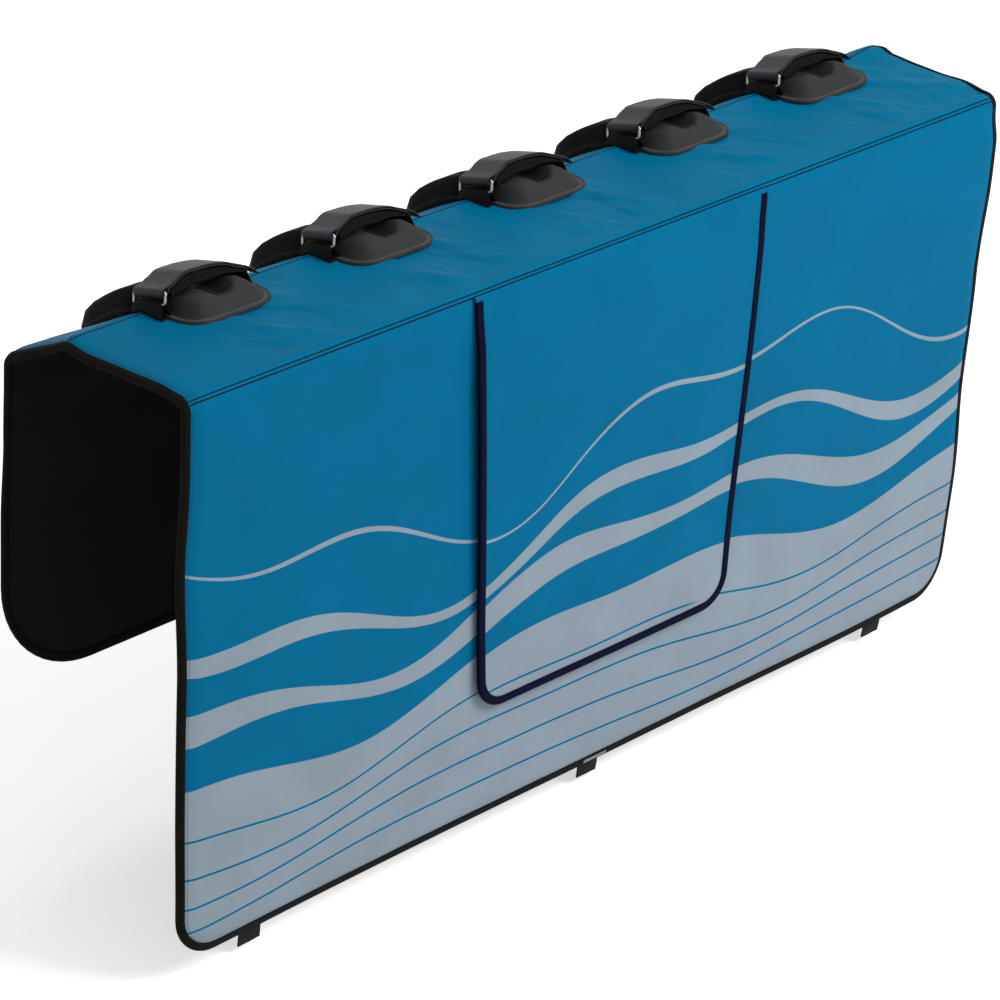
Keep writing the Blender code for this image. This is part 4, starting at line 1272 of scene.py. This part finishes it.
def make_base(number, centre, material, wing):
    shares = graded(-1.0, 1.0, 0.035, 0.16, 2.4)
    v = graded(BASE_FRONT, BASE_REAR, 0.0026, 0.012, 3.0)
    shares, v = np.meshgrid(shares, v)
    x = shares * base_half_width(v)
    foot = surface_height(centre + x, v)
    top = foot + base_height(x, v)
    points_top = lay(centre + x, v, top).reshape(-1, 3)
    points_low = lay(centre + x, v, foot).reshape(-1, 3)
    faces = block_faces(grid_faces(*v.shape), v.size)
    # Faces behind the wing's start take the second material, the darker copy of the same rubber: painted
    # shade
    behind = (v[:-1, :-1] > WING_SHADE_START).astype(int).ravel()
    indices = np.zeros(len(faces), int)
    indices[:len(behind)] = behind
    indices[len(behind):2 * len(behind)] = behind
    indices[2 * len(behind):] = v.ravel()[faces[2 * len(behind):, 1] % v.size] > WING_SHADE_START
    points = np.concatenate((points_top, points_low))
    piece = make_piece(f"moulded_cradle_{number}", points, faces, (material, wing), indices, sharp=50.0)
    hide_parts(f"cradle_base_{number}")


def matrix_of(axes, place):
    matrix = Matrix.Identity(4)
    for column, axis in enumerate(axes):
        for row in range(3):
            matrix[row][column] = axis[row]
    matrix.translation = place
    return matrix


def strap_frame(centre):
    """Matrix of a strap: x across the cradle, y down towards the cab and z off the pad."""
    origin = lay(centre, V_REAR_SEAM, THICKNESS)
    left, right = (lay(centre + side * 0.05, V_REAR_SEAM, THICKNESS) for side in (-1, 1))
    across = Vector(right - left).normalized()
    down = Vector((0.0, math.cos(HALF_SLOPE), -math.sin(HALF_SLOPE)))
    normal = across.cross(down).normalized()
    return matrix_of((across, normal.cross(across), normal), Vector(origin) + down * STRAP_CENTRE)


def placed(matrix, points):
    """Points (x, s, n) of a strap's frame as points of the part."""
    points = np.asarray(points, float)
    turn = np.array(matrix.to_3x3())
    return points @ turn.T + np.array(matrix.translation)


def shifted(points, distance):
    """A line moved to its left by a distance, with mitred corners."""
    points = np.asarray(points, float)
    steps = np.diff(points, axis=0)
    steps /= np.linalg.norm(steps, axis=1, keepdims=True)
    before = np.concatenate((steps[:1], steps))
    after = np.concatenate((steps, steps[-1:]))
    sides_before = np.stack((-before[:, 1], before[:, 0]), -1)
    sides_after = np.stack((-after[:, 1], after[:, 0]), -1)
    middle = sides_before + sides_after
    middle /= np.linalg.norm(middle, axis=1, keepdims=True)
    reach = distance / np.maximum((middle * sides_before).sum(1), 0.5)
    return points + middle * reach[:, None]


LIP_FACE = GAP + BASE_LIP
FOOT_HEIGHT = LIP_FACE + GAP + STRAP_THICKNESS / 2
LOWER_BAR = (-BASE_HALF - BAR_RADIUS - GAP, FOOT_HEIGHT + STRAP_THICKNESS / 2 + GAP + BAR_RADIUS)
UPPER_BAR = (LOWER_BAR[0] + RING_LEAN, LOWER_BAR[1] + RING_RISE)
WRAP_RADIUS = BAR_RADIUS + GAP + STRAP_THICKNESS / 2


def wrap_points(bar, start, end, slack=0.0, steps=22):
    """Webbing round a bar, hanging below it by the slack."""
    angles = np.linspace(start, end, steps + 1)
    reach = WRAP_RADIUS * np.sin(angles)
    low = np.where(reach < 0, reach - slack * np.abs(np.sin(angles)), reach)
    return np.stack((bar[0] + (WRAP_RADIUS + slack * 0.15) * np.cos(angles), bar[1] + low), -1)


def strap_line():
    """From its foot over the sleeve, round the upper bar and back over itself to the free tip."""
    foot = [(BASE_HALF - GAP, FOOT_HEIGHT), (BASE_HALF - BASE_LIP_WIDTH + GAP, FOOT_HEIGHT)]
    clear = GAP + STRAP_THICKNESS / 2
    x = np.linspace(SLEEVE_PROFILE[-1][0], SLEEVE_PROFILE[0][0], 46)
    over_sleeve = shifted(np.stack((x, smooth_line(SLEEVE_TOP, x)), -1), -clear)
    rise = SLEEVE_PROFILE[-1][0] + 2 * STRAP_THICKNESS
    shoulder = (rise, (over_sleeve[0][1] + FOOT_HEIGHT) / 2 + STRAP_THICKNESS / 2)
    lower = np.concatenate((foot, [shoulder], over_sleeve))
    upper = shifted(lower, -(STRAP_THICKNESS + GAP))[len(foot):-1]
    tip = upper[1] + STRAP_FREE_END * np.array((math.cos(TIP_ANGLE), math.sin(TIP_ANGLE)))
    upper = np.concatenate(([tip, (tip + upper[1]) / 2], upper[1:]))
    wrap = wrap_points(UPPER_BAR, STRAP_MEETS_BAR, -math.pi * 1.5, WRAP_SLACK)
    return np.concatenate((lower, wrap, upper[::-1]))


def loop_line():
    """Webbing that leaves from beside the lip, bulges out, and goes over the lower bar to the lip's top."""
    edge = -BASE_HALF - STRAP_THICKNESS / 2 - GAP
    turn = LOOP_BULGE / 3
    angles = np.linspace(-math.pi / 2, -math.pi, 7)
    outer = np.stack((edge - LOOP_BULGE + turn + turn * np.cos(angles),
                      LOOP_FOOT + turn + turn * np.sin(angles)), -1)
    wrap = wrap_points(LOWER_BAR, -math.pi * 1.12, -math.pi * 1.78)
    foot_end = -BASE_HALF + BASE_LIP_WIDTH - GAP
    last = wrap[-1]
    lands = (min(last[0] + (last[1] - FOOT_HEIGHT) * 0.9, foot_end - GAP), FOOT_HEIGHT)
    return np.concatenate(([(edge, LOOP_FOOT)], outer, wrap, [lands, (foot_end, FOOT_HEIGHT)]))


def drape(s, n):
    """How far webbing near the base follows the pad's fall on both sides of the rear seam."""
    return -np.tan(HALF_SLOPE) * np.abs(s + STRAP_CENTRE) * (1 - ramp((n - FOOT_HEIGHT) / DRAPE_REACH))


def make_band(name, line, matrix, material, node, seed):
    """Webbing of the strap's width along a line, its edges not quite even."""
    half = STRAP_WIDTH / 2
    across = half * BAND_COLUMNS
    run = np.concatenate(([0.0], np.cumsum(np.linalg.norm(np.diff(line, axis=0), axis=1))))
    left = shifted(line, STRAP_THICKNESS / 2) - line
    waver = 0.00035 * np.sin(run * 420 + seed) + 0.0003 * np.sin(run * 170 + 2 * seed)
    points, flat = [], []
    for side in (-1, 1):
        offset = line[:, None, :] + side * left[:, None, :] * BAND_FULLNESS[None, :, None]
        s = across[None, :] + waver[:, None] * (np.abs(across) / half) ** 6
        n = offset[..., 1] + drape(s, line[:, None, 1])
        block = np.stack((offset[..., 0], s, n), axis=-1)
        points.append(block.reshape(-1, 3))
        flat.append(np.stack(np.broadcast_arrays(run[:, None], across[None, :], 0.0), -1).reshape(-1, 3))
    count = len(line) * len(across)
    faces = block_faces(grid_faces(len(line), len(across)), count)
    points = placed(matrix, np.concatenate(points))
    piece = make_piece(name, points, faces, (material,), None, np.concatenate(flat), 55.0)
    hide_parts(node)


def sleeve_points():
    """The padded sleeve, in the strap's frame: full between its sewn ends, with a seam along each side."""
    stations = np.linspace(SLEEVE_PROFILE[0][0], SLEEVE_PROFILE[-1][0], SLEEVE_STATIONS)
    rings, flat = [], []
    angles = np.linspace(0, 2 * math.pi, SLEEVE_SIDES, endpoint=False)
    for index, x in enumerate(stations):
        bottom, top = float(smooth_line(SLEEVE_BOTTOM, x)), float(smooth_line(SLEEVE_TOP, x))
        bottom -= SLEEVE_SLUMP * float(ramp(1 - abs(x) / (GROOVE_HALF_WIDTH * 0.8)))
        ending = min(index, len(stations) - 1 - index)
        full = min(1.0, 0.80 + 0.05 * ending)
        middle, half_height = (top + bottom) / 2, (top - bottom) / 2 * full
        half = SLEEVE_SPREAD / 2 * (0.985 + 0.015 * math.sin(x * 260))
        c, s = np.cos(angles), np.sin(angles)
        across = half * np.sign(c) * np.abs(c) ** SLEEVE_SQUARENESS
        height = half_height * np.sign(s) * np.abs(s) ** SLEEVE_SQUARENESS
        seam = np.exp(-((np.abs(c) - 1) / 0.03) ** 2)
        across = across - np.sign(c) * 0.0010 * seam
        pucker = 0.00045 * np.sin(x * 900 + 2.5 * np.sin(angles * 2)) * np.abs(c)
        level = np.full(len(angles), x)
        rings.append(np.stack((level, across + pucker, middle + height + pucker * 0.5), -1))
        flat.append(np.stack((level, angles * 0.012, np.zeros(len(angles))), -1))
    return np.array(rings), np.array(flat)


def make_sleeve(number, matrix, material):
    rings, flat = sleeve_points()
    piece = closed_rings(f"quilted_sleeve_{number}", placed(matrix, rings), flat, (material,), False, 60.0)
    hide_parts(f"padded_sleeve_{number}")


def make_ring(number, matrix, material):
    """Rectangular wire ring in which the strap turns back."""
    half = STRAP_WIDTH / 2 + GAP + WIRE_RADIUS
    lower, upper = Vector(LOWER_BAR), Vector(UPPER_BAR)
    up = (upper - lower).normalized()
    height = (upper - lower).length
    path = sum(four_corners(-half, half, 0.0, height, RING_CORNER_RADIUS, 8), [])
    angles = np.linspace(0, 2 * math.pi, RING_STEPS, endpoint=False)
    rings = []
    for s, h, out_s, out_h in path:
        reach, side = WIRE_RADIUS * np.cos(angles), WIRE_RADIUS * np.sin(angles)
        x = lower.x + up.x * (h + reach * out_h) + up.y * side
        n = lower.y + up.y * (h + reach * out_h) - up.x * side
        rings.append(np.stack((x, s + reach * out_s, n), -1))
    flat = np.zeros((len(path) * RING_STEPS, 3))
    points = placed(matrix, np.array(rings))
    piece = closed_rings(f"wire_ring_{number}", points, flat, (material,), True, 60.0)
    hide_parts(f"strap_ring_{number}")


def make_stitches(name, places, along, up, size, material):
    """Separate stitches at places, each a low bead that dips into the cloth at its ends."""
    length, width, height = size
    places, along, up = (np.asarray(item, float).reshape(-1, 3) for item in (places, along, up))
    along /= np.linalg.norm(along, axis=1, keepdims=True)
    up = up - along * (up * along).sum(1, keepdims=True)
    up /= np.linalg.norm(up, axis=1, keepdims=True)
    side = np.cross(up, along)
    profile = ((-0.5, 0.35, -0.6), (-0.32, 0.9, 0.55), (0.0, 1.0, 1.0), (0.32, 0.9, 0.55), (0.5, 0.35, -0.6))
    section = ((-0.5, 0.0), (-0.35, 0.7), (0.0, 1.0), (0.35, 0.7), (0.5, 0.0), (0.0, -0.5))
    template, sides = [], len(section)
    for t, wide, lift in profile:
        for a, b in section:
            template.append((t * length, a * width * wide, (b * wide * 0.5 + lift * 0.5) * height))
    template = np.array(template)
    t, a, b = (template[None, :, axis:axis + 1] for axis in range(3))
    points = places[:, None] + t * along[:, None] + a * side[:, None] + b * up[:, None]
    one = []
    for ring in range(0, (len(profile) - 1) * sides, sides):
        for index in range(sides):
            after = (index + 1) % sides
            one.append((ring + index, ring + sides + index, ring + sides + after, ring + after))
    last = (len(profile) - 1) * sides
    one += [(0, 1, 2, 5), (2, 3, 4, 5)]
    one += [(last + 5, last + 2, last + 1, last), (last + 5, last + 4, last + 3, last + 2)]
    faces = (np.array(one)[None] + (np.arange(len(places)) * len(template))[:, None, None]).reshape(-1, 4)
    piece = make_piece(name, points, faces, (material,), sharp=70.0)
    edit_mesh(piece, face_outwards)


def stitch_on_cloth(name, u, v, w_at, size, material, across=False):
    """Stitches at points of the flat pattern, lying on the face whose height w_at gives."""
    step = 0.0008
    du = np.gradient(u)
    dv = np.gradient(v)
    norm = np.hypot(du, dv)
    du, dv = du / norm, dv / norm
    if across:
        du, dv = -dv, du
    here = lay(u, v, w_at(u, v))
    ahead = lay(u + du * step, v + dv * step, w_at(u + du * step, v + dv * step))
    behind = lay(u - du * step, v - dv * step, w_at(u - du * step, v - dv * step))
    above = lay(u, v, w_at(u, v) + step)
    make_stitches(name, here, ahead - behind, above - here, size, material)


def along_path(path, pitch, inset):
    """Evenly spaced points at a distance in from a path of (u, v, outward u, outward v)."""
    path = np.asarray(path, float)
    u, v = path[:, 0] - inset * path[:, 2], path[:, 1] - inset * path[:, 3]
    run = np.concatenate(([0.0], np.cumsum(np.hypot(np.diff(u), np.diff(v)))))
    at = np.arange(pitch / 2, run[-1], pitch)
    return np.interp(at, run, u), np.interp(at, run, v)


def make_seam_stitching(dark):
    reach = HALF_LENGTH - TAPE_WIDTH
    # The lower row of each seam is a continuous dark cord in its groove: seam thread, and painted shade of
    # the folded edge over it
    rows = (("front_seam_stitching", FRONT_STITCH_ROW, SEAM_STITCH),
            ("front_seam_shade_cord", V_FRONT_SEAM - GAP / 2, SEAM_SHADE_CORD),
            ("rear_seam_stitching", REAR_STITCH_ROW, SEAM_STITCH),
            ("rear_seam_shade_cord", V_REAR_SEAM, SEAM_SHADE_CORD))
    for name, at, (pitch, *size) in rows:
        u = np.arange(-reach, reach, pitch)
        v = np.full(u.shape, at)
        stitch_on_cloth(name, u, v, lambda a, b: cover_top(a, b, -GAP / 2), size, dark)


def tape_face(u, v):
    return pad_faces(u, v)[0] + TAPE


def make_tape_stitching(brown):
    path = pad_outline()
    pitch, *size = TAPE_STITCH
    u, v = along_path(path + path[:1], pitch, TAPE_STITCH_INSET)
    stitch_on_cloth("hem_tape_stitching", u, v, tape_face, size, brown)


def make_flange_stitching(number, centre, light):
    """The two rows of a base's flange, in front of its strap."""
    pitch, *size = FLANGE_STITCH
    path = sum(four_corners(-BASE_HALF, BASE_HALF, BASE_FRONT, BASE_REAR, BASE_CORNER_RADIUS, 11), [])

    def height(a, b):
        return surface_height(a, b) + base_height(a - centre, b) - 0.0001

    for row, inset in enumerate(CHANNEL_INSETS, start=1):
        x, v = along_path(path + path[:1], pitch, inset)
        keep = seam_distance(v) - STRAP_CENTRE < -STRAP_WIDTH / 2 - 0.001
        name = f"flange_stitching_{number}_{row}"
        stitch_on_cloth(name, x[keep] + centre, v[keep], height, size, light)


def make_bar_tack(material):
    """Dense pale stitches that hold the middle tab to the hem."""
    pitch, *size = TACK_STITCH
    u = TAB_PLACES[1] + np.arange(-TACK_REACH, TACK_REACH + pitch / 9, pitch)
    v = np.full(u.shape, TACK_V) + 0.0004 * np.sin(np.arange(len(u)) * 2.4)
    stitch_on_cloth("middle_tab_bar_tack", u, v, lambda a, b: tape_face(a, b) + 0.0001, size, material,
                    across=True)


def make_camera():
    level = math.cos(ELEVATION)
    back = Vector((-math.sin(AZIMUTH) * level, -math.cos(AZIMUTH) * level, math.sin(ELEVATION)))
    right = Vector((math.cos(AZIMUTH), -math.sin(AZIMUTH), 0.0))
    up = back.cross(right)
    level_right = math.cos(ROLL) * right + math.sin(ROLL) * up
    level_up = -math.sin(ROLL) * right + math.cos(ROLL) * up
    data = bpy.data.cameras.new("camera")
    data.lens = FOCAL_LENGTH * SENSOR
    data.sensor_width = SENSOR
    data.clip_end = 60.0
    camera = bpy.data.objects.new("camera", data)
    camera.matrix_world = matrix_of((level_right, level_up, back), Vector(EYE))
    bpy.context.scene.collection.objects.link(camera)
    bpy.context.scene.camera = camera


def make_light(name, place, size, power):
    data = bpy.data.lights.new(name, "AREA")
    data.shape = "RECTANGLE"
    data.size, data.size_y = size
    data.energy = power
    light = bpy.data.objects.new(name, data)
    light.location = place
    light.rotation_euler = (Vector(AIM) - Vector(place)).to_track_quat("-Z", "Y").to_euler()
    bpy.context.scene.collection.objects.link(light)


def seen_directly(tree):
    """1 for what the camera sees, also in metal and through glass, and 0 for the light on the object."""
    rays = tree.nodes.new("ShaderNodeLightPath")
    in_metal = calculate(tree, "MAXIMUM", rays.outputs["Is Camera Ray"], rays.outputs["Is Glossy Ray"])
    return calculate(tree, "MAXIMUM", in_metal, rays.outputs["Is Transmission Ray"])


def make_world():
    world = bpy.data.worlds.new("studio")
    bpy.context.scene.world = world
    world.use_nodes = True
    tree = world.node_tree
    background = tree.nodes["Background"]
    background.inputs["Color"].default_value = WHITE
    background.inputs["Strength"].default_value = WORLD_LIGHT
    white = tree.nodes.new("ShaderNodeBackground")
    white.inputs["Color"].default_value = WHITE
    white.inputs["Strength"].default_value = 1.0
    mix = tree.nodes.new("ShaderNodeMixShader")
    tree.links.new(seen_directly(tree), mix.inputs["Fac"])
    tree.links.new(background.outputs["Background"], mix.inputs[1])
    tree.links.new(white.outputs["Background"], mix.inputs[2])
    tree.links.new(mix.outputs["Shader"], tree.nodes["World Output"].inputs["Surface"])


def make_floor():
    material, tree, shader = new_material("pale_floor", (0.93, 0.93, 0.93), 0.9)
    place = place_in_object(tree)
    vary(tree, shader.inputs["Base Color"], noise(tree, place, 3.0, 2.0),
         ((0.3, (0.92, 0.92, 0.92)), (0.7, (0.94, 0.94, 0.94))))
    glow = tree.nodes.new("ShaderNodeEmission")
    glow.inputs["Color"].default_value = WHITE
    tree.links.new(calculate(tree, "MULTIPLY", seen_directly(tree), FLOOR_GLOW), glow.inputs["Strength"])
    both = tree.nodes.new("ShaderNodeAddShader")
    tree.links.new(shader.outputs["BSDF"], both.inputs[0])
    tree.links.new(glow.outputs["Emission"], both.inputs[1])
    tree.links.new(both.outputs["Shader"], tree.nodes["Material Output"].inputs["Surface"])
    corners = [(x * FLOOR_SIZE, y * FLOOR_SIZE, FLOOR) for x, y in ((-1, -1), (1, -1), (1, 1), (-1, 1))]
    make_piece("floor", corners, [(0, 1, 2, 3)], (material,))


def make_pad():
    blue = coated_fabric("blue_cover", linear(0, 101, 141), 0.50)
    # The top cover's colour carries painted shade along both of its stitch rows
    painted_shade_rows = (FRONT_STITCH_ROW, REAR_STITCH_ROW)
    top_blue = coated_fabric("top_blue_cover", linear(0, 102, 139), 0.46, painted_shade_rows)
    grey = coated_fabric("grey_print", linear(137, 151, 162), 0.52)
    lining = brushed_lining()
    foam = fleece("dark_foam", linear(48, 48, 50))
    tape = ribbed_tape("hem_tape_cloth", linear(21, 19, 15), 0.75)
    navy = ribbed_tape("flap_tape_cloth", linear(3, 8, 36), 0.7)
    make_front_cover(blue, grey)
    make_top_cover(top_blue)
    make_rear_cover(top_blue)
    make_paddings(foam)
    make_lining(lining)
    tape_along("hem_tape", pad_outline(), pad_tape_width, pad_faces, tape, "edge_binding", True)
    tape_along("window_tape", window_path(), lambda out_u, out_v: TAPE_WIDTH, window_faces, tape,
               "window_binding", True)
    make_flap(blue, grey, navy)
    make_closures(fleece("closure_pile", linear(20, 20, 22)))
    make_seam_stitching(thread("dark_thread", linear(1, 7, 20)))
    make_tape_stitching(thread("brown_thread", linear(30, 28, 24)))
    make_tabs(woven_webbing("tab_webbing", linear(24, 24, 25), 0.7, 0.10))
    make_bar_tack(thread("pale_thread", linear(150, 152, 158)))


def make_cradles():
    rubber = moulded_rubber("moulded_cradle", linear(40, 41, 42), 0.13)
    # A darker, less shiny copy of the cradle rubber for the wing: painted shade where the wing faces away
    # from the key light
    wing = moulded_rubber("shaded_wing_rubber", linear(14, 14, 14), 0.03)
    webbing = woven_webbing("strap_webbing", linear(47, 48, 50), 0.45, 0.16)
    dark_webbing = woven_webbing("loop_webbing", linear(18, 18, 19), 0.6, 0.05)
    quilt = fleece("quilted_cloth", linear(22, 22, 22))
    steel = polished_wire()
    light = thread("light_thread", linear(142, 132, 118))
    for index in range(CRADLE_COUNT):
        number = index + 1
        centre = cradle_centre(index)
        matrix = strap_frame(centre)
        make_base(number, centre, rubber, wing)
        make_sleeve(number, matrix, quilt)
        make_band(f"cinch_strap_{number}", strap_line(), matrix, webbing, f"cradle_strap_{number}", number)
        make_band(f"ring_webbing_{number}", loop_line(), matrix, dark_webbing, f"ring_loop_{number}",
                  number + 7)
        make_ring(number, matrix, steel)
        make_flange_stitching(number, centre, light)


bpy.context.scene.view_settings.view_transform = "Standard"
make_pad()
make_cradles()
make_floor()
make_camera()
make_world()
for softbox in SOFTBOXES:
    make_light(*softbox)
